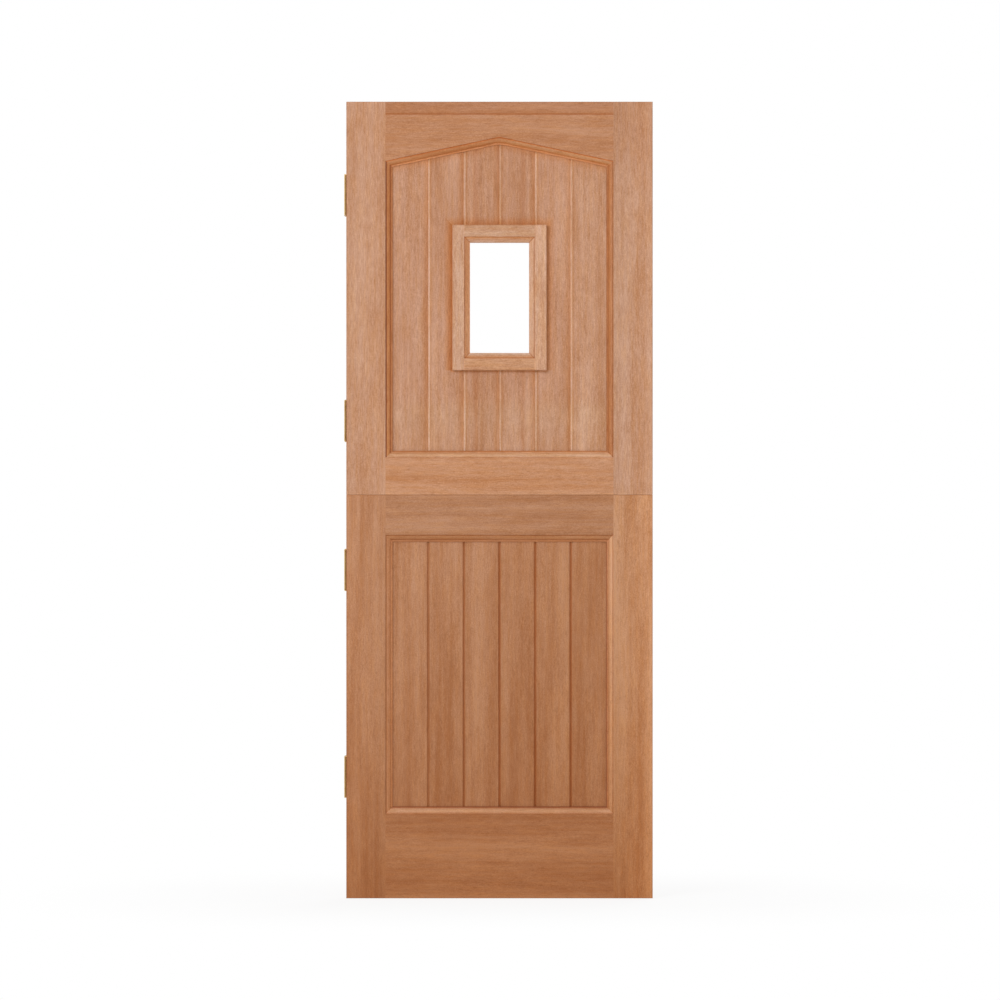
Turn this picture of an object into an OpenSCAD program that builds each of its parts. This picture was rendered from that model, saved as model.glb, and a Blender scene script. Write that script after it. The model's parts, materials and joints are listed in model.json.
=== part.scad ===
// Stable door: two framed leaves with vee-jointed board panels, a small light in
// the upper leaf, a shallow arch over the upper panel and four butt hinges.
// Lengths are in millimetres. X runs across the door, Y through it with the front
// at -Y, and Z is up from the foot of the door.

/* [Door] */
// Height of the closed door from foot to head
door_h = 1981; // [1930:1:2080]
// Width of both leaves
door_w = 762; // [700:1:840]
// Thickness of the framing
door_t = 44; // [42:0.5:52]
// Height of the meeting joint above the foot, on the front
meeting_z = 1003; // [960:1:1040]
// Gap left between the leaves at the meeting joint
meeting_gap = 0.75; // [0.5:0.25:4]
// Height of the rebate along the meeting joint
rebate_h = 12; // [8:0.5:18]

/* [Framing] */
// Width of the flat face of a stile
stile_face = 97.5; // [85:0.5:115]
// Height of the flat face of the bottom rail
bottom_rail_face = 210; // [180:1:235]
// Height of the flat face of the lower leaf's meeting rail
lower_meeting_face = 99; // [85:0.5:115]
// Height of the flat face of the upper leaf's meeting rail
upper_meeting_face = 91.5; // [80:0.5:110]
// Depth of the head at the crown of the arch, with its strip
crown_depth = 87; // [75:1:110]
// Rise of the arch from the stiles to the crown
arch_rise = 60; // [45:1:75]
// Radius that rounds the crown of the arch
crown_r = 120; // [90:1:150]
// Height of the strip glued along the head
head_strip_h = 31; // [20:1:40]
// Chamfer that eases the outer edges of the stiles
edge_ease = 1.5; // [0.5:0.25:3]

/* [Moulded edge] */
// Width of the sunk line beside the flat face
quirk_w = 2.5; // [1.5:0.25:3.5]
// Depth of the sunk line
quirk_d = 2.5; // [2:0.25:5.5]
// Radius of the rounded member
ovolo_r = 10.5; // [9:0.25:11]
// Drop from the flat face to the top of the rounded member
ovolo_drop = 1.5; // [0.5:0.25:2]
// Width of the flat at the foot of the moulding
foot_w = 4.5; // [3:0.25:6]
// Height of that flat above the panel
foot_h = 3.25; // [2.5:0.25:3.5]

/* [Panels] */
// Thickness of the boards
board_t = 16; // [14:0.5:17]
// Depth of the groove that holds the boards
let_in = 12; // [8:0.5:12]
// Gap left at the ends of the boards, in the groove
end_gap = 0.8; // [0.6:0.1:2]
// Width and depth of the chamfer at a vee joint
vee = 3.75; // [2:0.25:4]
// Length of the tongue between boards
tongue_l = 6; // [4:0.5:8]
// Thickness of the tongue
tongue_t = 5; // [3:0.5:5.5]
// Side clearance of the tongue in its groove
tongue_clear = 0.1; // [0.05:0.05:0.3]

/* [Light] */
// Height of the clear opening
light_h = 275; // [200:1:330]
// Drop of the middle of the opening below the middle of the upper panel
light_drop = 0.5; // [-40:0.5:40]
// Width of the flat face of the light frame
light_face = 29.5; // [22:0.5:36]
// Width of the glazing bead
bead_w = 14; // [10:0.5:14.5]
// Distance the bead stands back from the frame's face
bead_back = 2.5; // [1:0.25:4]
// Flat left along the outside of the bead
bead_flat = 2.5; // [1.5:0.25:4]
// Depth of the bead's slope
bead_slope = 8; // [5:0.5:9]
// Width of the slot for a pane
pane_slot = 4; // [3:0.5:6]
// Distance from the clear opening to the edge of the boards
light_rebate = 15; // [14.5:0.5:20]
// Clearance of the back frame inside the boards
light_clear = 0.2; // [0.1:0.05:0.5]
// Chamfer round the outside of the light frame
light_ease = 2; // [1:0.25:3]

/* [Joints] */
// Thickness of the tenons
tenon_t = 16; // [12:0.5:16]
// Shoulder left above and below a tenon
tenon_inset = 14; // [12:0.5:18]
// Height of a wedge at the edge of the stile
wedge_h = 6; // [4:0.5:8]
// Height of a wedge at its tip
wedge_tip = 1; // [0.8:0.1:2]
// Length of a wedge
wedge_l = 75; // [50:1:80]
// Height of the tongue under the head strip
strip_tongue_h = 6; // [4:0.5:8]
// Thickness of the tongue under the head strip
strip_tongue_t = 8; // [6:0.5:10]

/* [Hinges] */
// Height of a hinge
hinge_h = 102; // [90:1:110]
// Distance from the pin to the edge of a plate
hinge_flap = 38; // [34:0.5:42]
// Thickness of a plate
plate_t = 2.5; // [2:0.1:3]
// Gap between the plates when the door is shut
hinge_gap = 2.5; // [2:0.1:3.5]
// Radius of a knuckle
knuckle_r = 5.5; // [5:0.1:6]
// Radius of a pin
pin_r = 3; // [2.5:0.1:3.2]
// Running clearance round a pin
pin_clear = 0.05; // [0.03:0.01:0.08]
// Distance from the back of the door to a knuckle
knuckle_clear = 0.5; // [0.4:0.1:1]
// Gap between neighbouring knuckles
knuckle_gap = 0.3; // [0.2:0.05:0.5]
// Radius of a screw hole in a plate
hole_r = 2.6; // [2.3:0.1:2.8]
// Radius of the countersink
sink_r = 4.6; // [4:0.1:5]
// Spacing of the screw holes across a plate
hole_across = 16; // [14:0.5:18]
// Spacing of the screw holes along a plate
hole_along = 74; // [66:1:80]
// Length of a hinge screw
screw_l = 32; // [25:1:40]
// Distance from the head of the door to the middle of the top hinge
top_hinge_down = 230; // [215:1:260]
// Distance from the meeting joint up to the middle of a hinge
above_joint = 185; // [180:1:220]
// Distance from the meeting joint down to the middle of a hinge
below_joint = 187; // [185:1:220]
// Height of the middle of the bottom hinge
bottom_hinge_z = 300; // [300:1:340]

/* [Hidden] */
$fn = 96;
// Small overlap used where two solids of one piece are joined
lap = 1;
board_count = 6;
stick_w = quirk_w + ovolo_r + foot_w;
ovolo_y = door_t / 2 - ovolo_drop - ovolo_r;
quirk_y = door_t / 2 - quirk_d;
foot_y = board_t / 2 + foot_h;
groove_d = stick_w - let_in;
// Inner edges of the stiles, at the sunk line and at the panel
quirk_x = door_w / 2 - stile_face;
panel_x = quirk_x - stick_w;
pitch = 2 * panel_x / board_count;
// Arch
arch_a = atan(arch_rise / quirk_x);
arch_slope = arch_rise / quirk_x;
crown_z = door_h - crown_depth;
spring_z = crown_z - arch_rise;
// Drop of the rounded crown below the point where the arms would meet, as a share
// of the largest drop at which the curve still reaches both arms
crown_share = 0.7;
crown_drop = crown_share * crown_r * pow(arch_slope, 2) / 2;
crown_half = crown_r * arch_slope;
mitre_slope = tan(45 - arch_a / 2);
rail_top = door_h - head_strip_h;
// Lower leaf
low_quirk_bottom = bottom_rail_face;
low_quirk_top = meeting_z - lower_meeting_face;
rebate_z = meeting_z - rebate_h;
rebate_y = 1;
// Upper leaf
upper_front_z = meeting_z + meeting_gap;
upper_back_z = rebate_z + meeting_gap;
up_quirk_bottom = upper_front_z + upper_meeting_face;
// Light
aperture_w = 2 * pitch;
aperture_h = light_h + 2 * light_rebate;
light_z = (up_quirk_bottom + crown_z) / 2 - light_drop;
light_w = aperture_w - 2 * light_rebate;
frame_out = bead_w + light_face;
// Hinges
pin_x = -door_w / 2 - hinge_gap / 2;
pin_y = door_t / 2 + knuckle_r + knuckle_clear;
relief = knuckle_r + knuckle_clear;
knuckles = 5;
knuckle_h = hinge_h / knuckles;
screw_r = 1.8;
screw_gap = 0.2;
sink_depth = 1.8;
head_gap = 0.15;
pin_head_r = 4.5;
pin_head_h = 2;
plate_mid_y = (door_t / 2 + pin_y - hinge_flap) / 2;
upper_hinges = [door_h - top_hinge_down, meeting_z + above_joint];
lower_hinges = [meeting_z - below_joint, bottom_hinge_z];
// Tenons as bottom height and height
bottom_tenon_h = (bottom_rail_face - 5 * tenon_inset) / 2;
bottom_tenons = [
    [1.5 * tenon_inset, bottom_tenon_h],
    [3.5 * tenon_inset + bottom_tenon_h, bottom_tenon_h]
];
low_meeting_tenons = [[low_quirk_top + tenon_inset, rebate_z - low_quirk_top - 2 * tenon_inset]];
up_meeting_tenons = [[upper_front_z + tenon_inset, upper_meeting_face - 2 * tenon_inset]];
head_tenons = [[spring_z + tenon_inset, rail_top - spring_z - 2 * tenon_inset]];
lower_tenons = concat(bottom_tenons, low_meeting_tenons);
upper_tenons = concat(up_meeting_tenons, head_tenons);
// Colours
upper_tone = [0.72, 0.53, 0.42];
lower_tone = [0.64, 0.43, 0.29];
light_tone = [0.76, 0.58, 0.46];
wedge_tone = [0.55, 0.37, 0.24];
brass_tone = [0.80, 0.66, 0.41];

// A framing member in section: X is the distance past the sunk line towards the
// panel, Y runs through the door
module member_section(face_w) {
    difference() {
        union() {
            translate([-face_w, -door_t / 2]) square([face_w, door_t]);
            translate([-face_w, -foot_y]) square([face_w + stick_w, 2 * foot_y]);
            for (s = [-1, 1])
                translate([quirk_w, s * ovolo_y]) circle(r = ovolo_r);
        }
        for (s = [-1, 1])
            translate([quirk_w / 2, s * (quirk_y + quirk_d / 2 + lap / 2)])
                square([quirk_w, quirk_d + lap], center = true);
        translate([groove_d, -board_t / 2]) square([let_in + lap, board_t]);
    }
}

// A stile in section, with its outer edges eased
module stile_section() {
    difference() {
        member_section(stile_face);
        for (s = [-1, 1])
            translate([-stile_face, s * door_t / 2])
                rotate(45) square(edge_ease * sqrt(2), center = true);
    }
}

// Turns a shape drawn in X and Z into a block right through the door
module through(depth = door_t + 2 * lap) {
    rotate([90, 0, 0]) linear_extrude(depth, center = true) children();
}

// Lays a section along X with its first direction upwards
module along_x(length) {
    rotate([0, -90, 0]) linear_extrude(length, center = true) children();
}

// Mortices and wedge slots through the left stile
module mortices(tenons) {
    for (n = tenons)
        through(tenon_t)
            polygon([
                [-quirk_x + lap, n[0]],
                [-door_w / 2 + wedge_l, n[0]],
                [-door_w / 2 + wedge_l, n[0] - wedge_tip],
                [-door_w / 2 - lap, n[0] - wedge_h - lap * (wedge_h - wedge_tip) / wedge_l],
                [-door_w / 2 - lap, n[0] + n[1] + wedge_h + lap * (wedge_h - wedge_tip) / wedge_l],
                [-door_w / 2 + wedge_l, n[0] + n[1] + wedge_tip],
                [-door_w / 2 + wedge_l, n[0] + n[1]],
                [-quirk_x + lap, n[0] + n[1]]
            ]);
}

// Wedges above and below each tenon, at both edges of a leaf
module wedges(tenons) {
    for (m = [0, 1]) mirror([m, 0, 0])
        for (n = tenons)
            through(tenon_t) {
                polygon([
                    [-door_w / 2, n[0]],
                    [-door_w / 2 + wedge_l, n[0]],
                    [-door_w / 2 + wedge_l, n[0] - wedge_tip],
                    [-door_w / 2, n[0] - wedge_h]
                ]);
                polygon([
                    [-door_w / 2, n[0] + n[1]],
                    [-door_w / 2 + wedge_l, n[0] + n[1]],
                    [-door_w / 2 + wedge_l, n[0] + n[1] + wedge_tip],
                    [-door_w / 2, n[0] + n[1] + wedge_h]
                ]);
            }
}

// Tenons at both ends of a rail
module tenons(list) {
    for (m = [0, 1]) mirror([m, 0, 0])
        for (n = list)
            translate([-door_w / 2, -tenon_t / 2, n[0]])
                cube([stile_face + lap, tenon_t, n[1]]);
}

// Left stile of a leaf, mitred where its moulding meets the rails
module left_stile(bottom, low_quirk, high_quirk, high_slope, top) {
    reach = stick_w + lap;
    intersection() {
        translate([-quirk_x, 0, bottom]) linear_extrude(top - bottom) stile_section();
        through()
            polygon([
                [-door_w / 2 - lap, bottom],
                [-quirk_x, bottom],
                [-quirk_x, low_quirk],
                [-quirk_x + reach, low_quirk + reach],
                [-quirk_x + reach, high_quirk - high_slope * reach],
                [-quirk_x, high_quirk],
                [-quirk_x, top],
                [-door_w / 2 - lap, top]
            ]);
    }
}

// Straight rail with its moulding upwards, ends mitred
module straight_rail(bottom, quirk_line) {
    reach = stick_w + lap;
    intersection() {
        translate([0, 0, quirk_line])
            along_x(2 * quirk_x) member_section(quirk_line - bottom);
        through()
            polygon([
                [-quirk_x, bottom],
                [quirk_x, bottom],
                [quirk_x, quirk_line],
                [quirk_x - reach, quirk_line + reach],
                [-quirk_x + reach, quirk_line + reach],
                [-quirk_x, quirk_line]
            ]);
    }
}

// Space taken from the upper leaf by the lower leaf's upstand
module upper_rebate() {
    translate([-door_w / 2 - lap, -door_t / 2 - lap, upper_back_z - lap])
        cube([door_w + 2 * lap, door_t / 2 + lap + rebate_y, rebate_h + lap]);
}

// Space taken from the back of the lower leaf by the upper leaf's lip
module lower_rebate() {
    translate([-door_w / 2 - lap, -rebate_y, rebate_z])
        cube([door_w + 2 * lap, door_t / 2 + rebate_y + lap, rebate_h + lap]);
}

// Recess and screw holes for one hinge plate in the edge of a stile
module hinge_recess(z) {
    translate([-door_w / 2 - lap, pin_y - hinge_flap, z - hinge_h / 2])
        cube([plate_t + lap, door_t, hinge_h]);
    hinge_holes(z)
        cylinder(r = screw_r + screw_gap, h = screw_l);
}

// Places its children at the screw holes of a leaf plate, pointing into the stile
module hinge_holes(z) {
    for (i = [-1, 1]) for (j = [-1, 1])
        translate([-door_w / 2, plate_mid_y + i * hole_across / 2, z + j * hole_along / 2])
            rotate([0, 90, 0]) children();
}

// Line of an arm of the arch, measured from the crown and set in by d
function arm_line(x, d) = -arch_slope * abs(x) - d / cos(arch_a);

// Space under the arch in X and Z from the crown, set in from the sunk line by d
module arch_opening(d) {
    wide = quirk_x + lap;
    difference() {
        polygon([
            [-wide, -door_h],
            [wide, -door_h],
            [wide, arm_line(wide, d)],
            [quirk_x, arm_line(quirk_x, d)],
            [0, arm_line(0, d)],
            [-quirk_x, arm_line(quirk_x, d)],
            [-wide, arm_line(wide, d)]
        ]);
        difference() {
            translate([-crown_half, -crown_drop - crown_r])
                square([2 * crown_half, crown_drop + crown_r + lap]);
            translate([0, -crown_drop - crown_r]) circle(r = crown_r - d);
        }
    }
}

// Rounded member that follows the arms and the crown of the arch
module arch_ovolo() {
    past = crown_r / 2;
    for (s = [-1, 1]) translate([0, s * ovolo_y, 0]) {
        for (m = [0, 1]) mirror([m, 0, 0])
            translate([0, 0, arm_line(0, quirk_w)]) rotate([0, 90 - arch_a, 0])
                translate([0, 0, -door_w / 2]) cylinder(r = ovolo_r, h = door_w / 2 + past);
        intersection() {
            translate([0, 0, -crown_drop - crown_r]) rotate([90, 0, 0])
                rotate_extrude() translate([crown_r - quirk_w, 0]) circle(r = ovolo_r);
            translate([-crown_half, -door_t, -crown_drop - crown_r])
                cube([2 * crown_half, 2 * door_t, 2 * crown_r]);
        }
    }
}

// Upper leaf framing
module upper_hanging_stile() color(upper_tone)
    difference() {
        left_stile(upper_back_z, up_quirk_bottom, spring_z, mitre_slope, door_h);
        upper_rebate();
        mortices(upper_tenons);
        for (z = upper_hinges) hinge_recess(z);
    }

module upper_closing_stile() color(upper_tone)
    difference() {
        mirror([1, 0, 0])
            left_stile(upper_back_z, up_quirk_bottom, spring_z, mitre_slope, door_h);
        upper_rebate();
        mirror([1, 0, 0]) mortices(upper_tenons);
    }

module upper_meeting_rail() color(upper_tone) {
    difference() {
        straight_rail(upper_back_z, up_quirk_bottom);
        upper_rebate();
    }
    tenons(up_meeting_tenons);
}

// Outline of the arched rail in X and Z from the crown, its ends mitred
module arched_rail_outline() {
    reach = stick_w + lap;
    polygon([
        [-quirk_x, rail_top - crown_z],
        [-quirk_x, spring_z - crown_z],
        [-quirk_x + reach, spring_z - crown_z - mitre_slope * reach],
        [quirk_x - reach, spring_z - crown_z - mitre_slope * reach],
        [quirk_x, spring_z - crown_z],
        [quirk_x, rail_top - crown_z]
    ]);
}

module upper_arched_top_rail() color(upper_tone) {
    difference() {
        translate([0, 0, crown_z]) difference() {
            union() {
                through(door_t) difference() {
                    arched_rail_outline();
                    arch_opening(0);
                }
                through(2 * foot_y) difference() {
                    arched_rail_outline();
                    arch_opening(stick_w);
                }
                intersection() {
                    arch_ovolo();
                    through() arched_rail_outline();
                }
            }
            for (s = [-1, 1]) translate([0, s * (quirk_y + quirk_d / 2 + lap / 2), 0])
                through(quirk_d + lap) difference() {
                    arch_opening(0);
                    arch_opening(quirk_w);
                }
            through(board_t) arch_opening(groove_d);
        }
        translate([-quirk_x - lap, -strip_tongue_t / 2, rail_top - strip_tongue_h])
            cube([2 * (quirk_x + lap), strip_tongue_t, strip_tongue_h + lap]);
    }
    tenons(head_tenons);
}

module upper_head_strip() color(upper_tone) {
    translate([-quirk_x, -door_t / 2, rail_top]) cube([2 * quirk_x, door_t, head_strip_h]);
    translate([-quirk_x, -strip_tongue_t / 2, rail_top - strip_tongue_h])
        cube([2 * quirk_x, strip_tongue_t, strip_tongue_h + lap]);
}

module upper_tenon_wedges() color(wedge_tone) wedges(upper_tenons);

// One board in section, with a groove on its left and a tongue on its right
module board_section(i) {
    left = -panel_x + i * pitch;
    right = left + pitch;
    edge = panel_x + let_in - end_gap;
    face = board_t / 2;
    slot = tongue_t / 2 + tongue_clear;
    slot_l = tongue_l + 5 * tongue_clear;
    right_side = i == board_count - 1
        ? [[edge, -face], [edge, face]]
        : [
            [right - vee, -face], [right, vee - face],
            [right, -tongue_t / 2], [right + tongue_l, -tongue_t / 2],
            [right + tongue_l, tongue_t / 2], [right, tongue_t / 2],
            [right, face - vee], [right - vee, face]
        ];
    left_side = i == 0
        ? [[-edge, face], [-edge, -face]]
        : [
            [left + vee, face], [left, face - vee],
            [left, slot], [left + slot_l, slot],
            [left + slot_l, -slot], [left, -slot],
            [left, vee - face], [left + vee, -face]
        ];
    polygon(concat(right_side, left_side));
}

module lower_board(i) color(lower_tone) {
    bottom = low_quirk_bottom + groove_d + end_gap;
    top = low_quirk_top - groove_d - end_gap;
    translate([0, 0, bottom]) linear_extrude(top - bottom) board_section(i);
}

// Full-height board of the upper panel, its top end cut to the arch
module upper_board(i) {
    inset = groove_d + end_gap;
    bottom = up_quirk_bottom + inset;
    intersection() {
        translate([0, 0, bottom]) linear_extrude(crown_z - bottom) board_section(i);
        translate([0, 0, crown_z]) through() arch_opening(inset);
    }
}

module board_above_light(i) color(upper_tone)
    intersection() {
        upper_board(i);
        translate([-door_w / 2, -door_t / 2, light_z + aperture_h / 2])
            cube([door_w, door_t, door_h]);
    }

module board_below_light(i) color(upper_tone)
    intersection() {
        upper_board(i);
        translate([-door_w / 2, -door_t / 2, light_z - aperture_h / 2 - door_h])
            cube([door_w, door_t, door_h]);
    }

module upper_board_1() color(upper_tone) upper_board(0);

// The tongue is cut away where this board borders the light
module upper_board_2() color(upper_tone)
    difference() {
        upper_board(1);
        translate([-aperture_w / 2, -door_t / 2, light_z - aperture_h / 2])
            cube([aperture_w, door_t, aperture_h]);
    }

module upper_board_3_above_light() board_above_light(2);
module upper_board_3_below_light() board_below_light(2);
module upper_board_4_above_light() board_above_light(3);
module upper_board_4_below_light() board_below_light(3);
module upper_board_5() color(upper_tone) upper_board(4);
module upper_board_6() color(upper_tone) upper_board(5);

// Light frame members in section: X runs outwards from the clear opening
module front_frame_section() {
    polygon([
        [bead_w, -board_t / 2],
        [bead_w, -door_t / 2],
        [frame_out - light_ease, -door_t / 2],
        [frame_out, light_ease - door_t / 2],
        [frame_out, -board_t / 2]
    ]);
}

module back_frame_section() {
    polygon([
        [0, pane_slot / 2],
        [light_rebate - light_clear, pane_slot / 2],
        [light_rebate - light_clear, board_t / 2],
        [frame_out, board_t / 2],
        [frame_out, door_t / 2 - light_ease],
        [frame_out - light_ease, door_t / 2],
        [bead_w, door_t / 2],
        [bead_w, door_t / 2 - bead_back],
        [bead_w - bead_flat, door_t / 2 - bead_back],
        [0, door_t / 2 - bead_back - bead_slope]
    ]);
}

module bead_section() {
    polygon([
        [0, -pane_slot / 2],
        [0, bead_back + bead_slope - door_t / 2],
        [bead_w - bead_flat, bead_back - door_t / 2],
        [bead_w, bead_back - door_t / 2],
        [bead_w, -pane_slot / 2]
    ]);
}

// Upright at the left of the light, its ends mitred
module light_left(section_w) {
    translate([0, 0, light_z])
        intersection() {
            translate([-light_w / 2, 0, 0]) mirror([1, 0, 0])
                linear_extrude(light_h + 2 * frame_out + 2 * lap, center = true) children();
            through()
                polygon([
                    [-light_w / 2, -light_h / 2],
                    [-light_w / 2, light_h / 2],
                    [-light_w / 2 - section_w, light_h / 2 + section_w],
                    [-light_w / 2 - section_w, -light_h / 2 - section_w]
                ]);
        }
}

// Member across the top of the light, its ends mitred
module light_top(section_w) {
    translate([0, 0, light_z])
        intersection() {
            translate([0, 0, light_h / 2])
                along_x(light_w + 2 * frame_out + 2 * lap) children();
            through()
                polygon([
                    [-light_w / 2, light_h / 2],
                    [light_w / 2, light_h / 2],
                    [light_w / 2 + section_w, light_h / 2 + section_w],
                    [-light_w / 2 - section_w, light_h / 2 + section_w]
                ]);
        }
}

// Turns a member over to the other end of the light
module upside_down() {
    translate([0, 0, 2 * light_z]) mirror([0, 0, 1]) children();
}

// Front uprights run the full height, with head and sill fitted between them, and
// their ends are eased like the rest of the outside
module light_frame_front_left() color(light_tone) {
    reach = light_h / 2 + frame_out;
    translate([-light_w / 2, 0, light_z]) mirror([1, 0, 0])
        intersection() {
            linear_extrude(2 * reach, center = true) front_frame_section();
            along_x(2 * frame_out + 2 * lap)
                polygon([
                    [-reach, -board_t / 2],
                    [-reach, light_ease - door_t / 2],
                    [light_ease - reach, -door_t / 2],
                    [reach - light_ease, -door_t / 2],
                    [reach, light_ease - door_t / 2],
                    [reach, -board_t / 2]
                ]);
        }
}

module light_frame_front_right() color(light_tone) mirror([1, 0, 0]) light_frame_front_left();

module light_frame_front_head() color(light_tone)
    translate([0, 0, light_z + light_h / 2])
        along_x(light_w + 2 * bead_w) front_frame_section();

module light_frame_front_sill() color(light_tone) upside_down() light_frame_front_head();

module light_frame_back_left() color(light_tone) light_left(frame_out) back_frame_section();
module light_frame_back_right() color(light_tone) mirror([1, 0, 0]) light_frame_back_left();
module light_frame_back_head() color(light_tone) light_top(frame_out) back_frame_section();
module light_frame_back_sill() color(light_tone) upside_down() light_frame_back_head();

module glazing_bead_left() color(light_tone) light_left(bead_w) bead_section();
module glazing_bead_right() color(light_tone) mirror([1, 0, 0]) glazing_bead_left();
module glazing_bead_top() color(light_tone) light_top(bead_w) bead_section();
module glazing_bead_bottom() color(light_tone) upside_down() glazing_bead_top();

// Lower leaf framing
module lower_left_stile() {
    left_stile(0, low_quirk_bottom, low_quirk_top, 1, meeting_z);
}

module lower_hanging_stile() color(lower_tone)
    difference() {
        lower_left_stile();
        lower_rebate();
        mortices(lower_tenons);
        for (z = lower_hinges) hinge_recess(z);
    }

module lower_closing_stile() color(lower_tone)
    difference() {
        mirror([1, 0, 0]) lower_left_stile();
        lower_rebate();
        mirror([1, 0, 0]) mortices(lower_tenons);
    }

module lower_bottom_rail() color(lower_tone) {
    straight_rail(0, low_quirk_bottom);
    tenons(bottom_tenons);
}

module lower_meeting_rail() color(lower_tone) {
    difference() {
        mirror([0, 0, 1]) straight_rail(-meeting_z, -low_quirk_top);
        lower_rebate();
    }
    tenons(low_meeting_tenons);
}

module lower_tenon_wedges() color(wedge_tone) wedges(lower_tenons);
module lower_board_1() lower_board(0);
module lower_board_2() lower_board(1);
module lower_board_3() lower_board(2);
module lower_board_4() lower_board(3);
module lower_board_5() lower_board(4);
module lower_board_6() lower_board(5);

// Half of a butt hinge at the origin, its plate on the +X side of the pin
module hinge_half(first) {
    difference() {
        union() {
            translate([hinge_gap / 2, -hinge_flap, -hinge_h / 2])
                cube([plate_t, hinge_flap - relief, hinge_h]);
            for (i = [first:2:knuckles - 1])
                translate([0, 0, -hinge_h / 2 + i * knuckle_h + knuckle_gap / 2]) {
                    cylinder(r = knuckle_r, h = knuckle_h - knuckle_gap);
                    translate([hinge_gap / 2, -relief - lap, 0])
                        cube([plate_t, relief + lap, knuckle_h - knuckle_gap]);
                }
        }
        cylinder(r = pin_r + pin_clear, h = hinge_h + 2 * lap, center = true);
        for (i = [-1, 1]) for (j = [-1, 1])
            translate([hinge_gap / 2, plate_mid_y - pin_y + i * hole_across / 2, j * hole_along / 2])
                rotate([0, 90, 0]) {
                    translate([0, 0, -lap]) cylinder(r = hole_r, h = plate_t + 2 * lap);
                    cylinder(r1 = sink_r, r2 = hole_r, h = sink_depth);
                }
    }
}

module leaf_plate(z) color(brass_tone) translate([pin_x, pin_y, z]) hinge_half(1);
module frame_plate(z) color(brass_tone)
    translate([pin_x, pin_y, z]) mirror([1, 0, 0]) hinge_half(0);

// Pin with a button at each end
module hinge_pin(z) color(brass_tone)
    translate([pin_x, pin_y, z]) {
        cylinder(r = pin_r, h = hinge_h + 2 * lap, center = true);
        for (s = [0, 1]) mirror([0, 0, s])
            translate([0, 0, hinge_h / 2]) cylinder(r = pin_head_r, h = pin_head_h);
    }

// Countersunk screws that fix the leaf plates to a stile
module hinge_screws(list) color(brass_tone)
    for (z = list) hinge_holes(z) {
        cylinder(r = screw_r, h = screw_l);
        cylinder(r1 = sink_r - head_gap, r2 = hole_r - head_gap, h = sink_depth - head_gap);
    }

module upper_top_hinge_leaf_plate() leaf_plate(upper_hinges[0]);
module upper_bottom_hinge_leaf_plate() leaf_plate(upper_hinges[1]);
module lower_top_hinge_leaf_plate() leaf_plate(lower_hinges[0]);
module lower_bottom_hinge_leaf_plate() leaf_plate(lower_hinges[1]);
module upper_top_hinge_frame_plate() frame_plate(upper_hinges[0]);
module upper_bottom_hinge_frame_plate() frame_plate(upper_hinges[1]);
module lower_top_hinge_frame_plate() frame_plate(lower_hinges[0]);
module lower_bottom_hinge_frame_plate() frame_plate(lower_hinges[1]);
module upper_top_hinge_pin() hinge_pin(upper_hinges[0]);
module upper_bottom_hinge_pin() hinge_pin(upper_hinges[1]);
module lower_top_hinge_pin() hinge_pin(lower_hinges[0]);
module lower_bottom_hinge_pin() hinge_pin(lower_hinges[1]);
module upper_hinge_screws() hinge_screws(upper_hinges);
module lower_hinge_screws() hinge_screws(lower_hinges);

upper_hanging_stile();
upper_closing_stile();
upper_arched_top_rail();
upper_head_strip();
upper_meeting_rail();
upper_tenon_wedges();
upper_board_1();
upper_board_2();
upper_board_3_above_light();
upper_board_3_below_light();
upper_board_4_above_light();
upper_board_4_below_light();
upper_board_5();
upper_board_6();
light_frame_front_left();
light_frame_front_right();
light_frame_front_head();
light_frame_front_sill();
light_frame_back_left();
light_frame_back_right();
light_frame_back_head();
light_frame_back_sill();
glazing_bead_left();
glazing_bead_right();
glazing_bead_top();
glazing_bead_bottom();
upper_top_hinge_leaf_plate();
upper_bottom_hinge_leaf_plate();
upper_hinge_screws();
lower_hanging_stile();
lower_closing_stile();
lower_meeting_rail();
lower_bottom_rail();
lower_tenon_wedges();
lower_board_1();
lower_board_2();
lower_board_3();
lower_board_4();
lower_board_5();
lower_board_6();
lower_top_hinge_leaf_plate();
lower_bottom_hinge_leaf_plate();
lower_hinge_screws();
upper_top_hinge_frame_plate();
upper_bottom_hinge_frame_plate();
lower_top_hinge_frame_plate();
lower_bottom_hinge_frame_plate();
upper_top_hinge_pin();
upper_bottom_hinge_pin();
lower_top_hinge_pin();
lower_bottom_hinge_pin();
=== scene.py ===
import json

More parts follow.
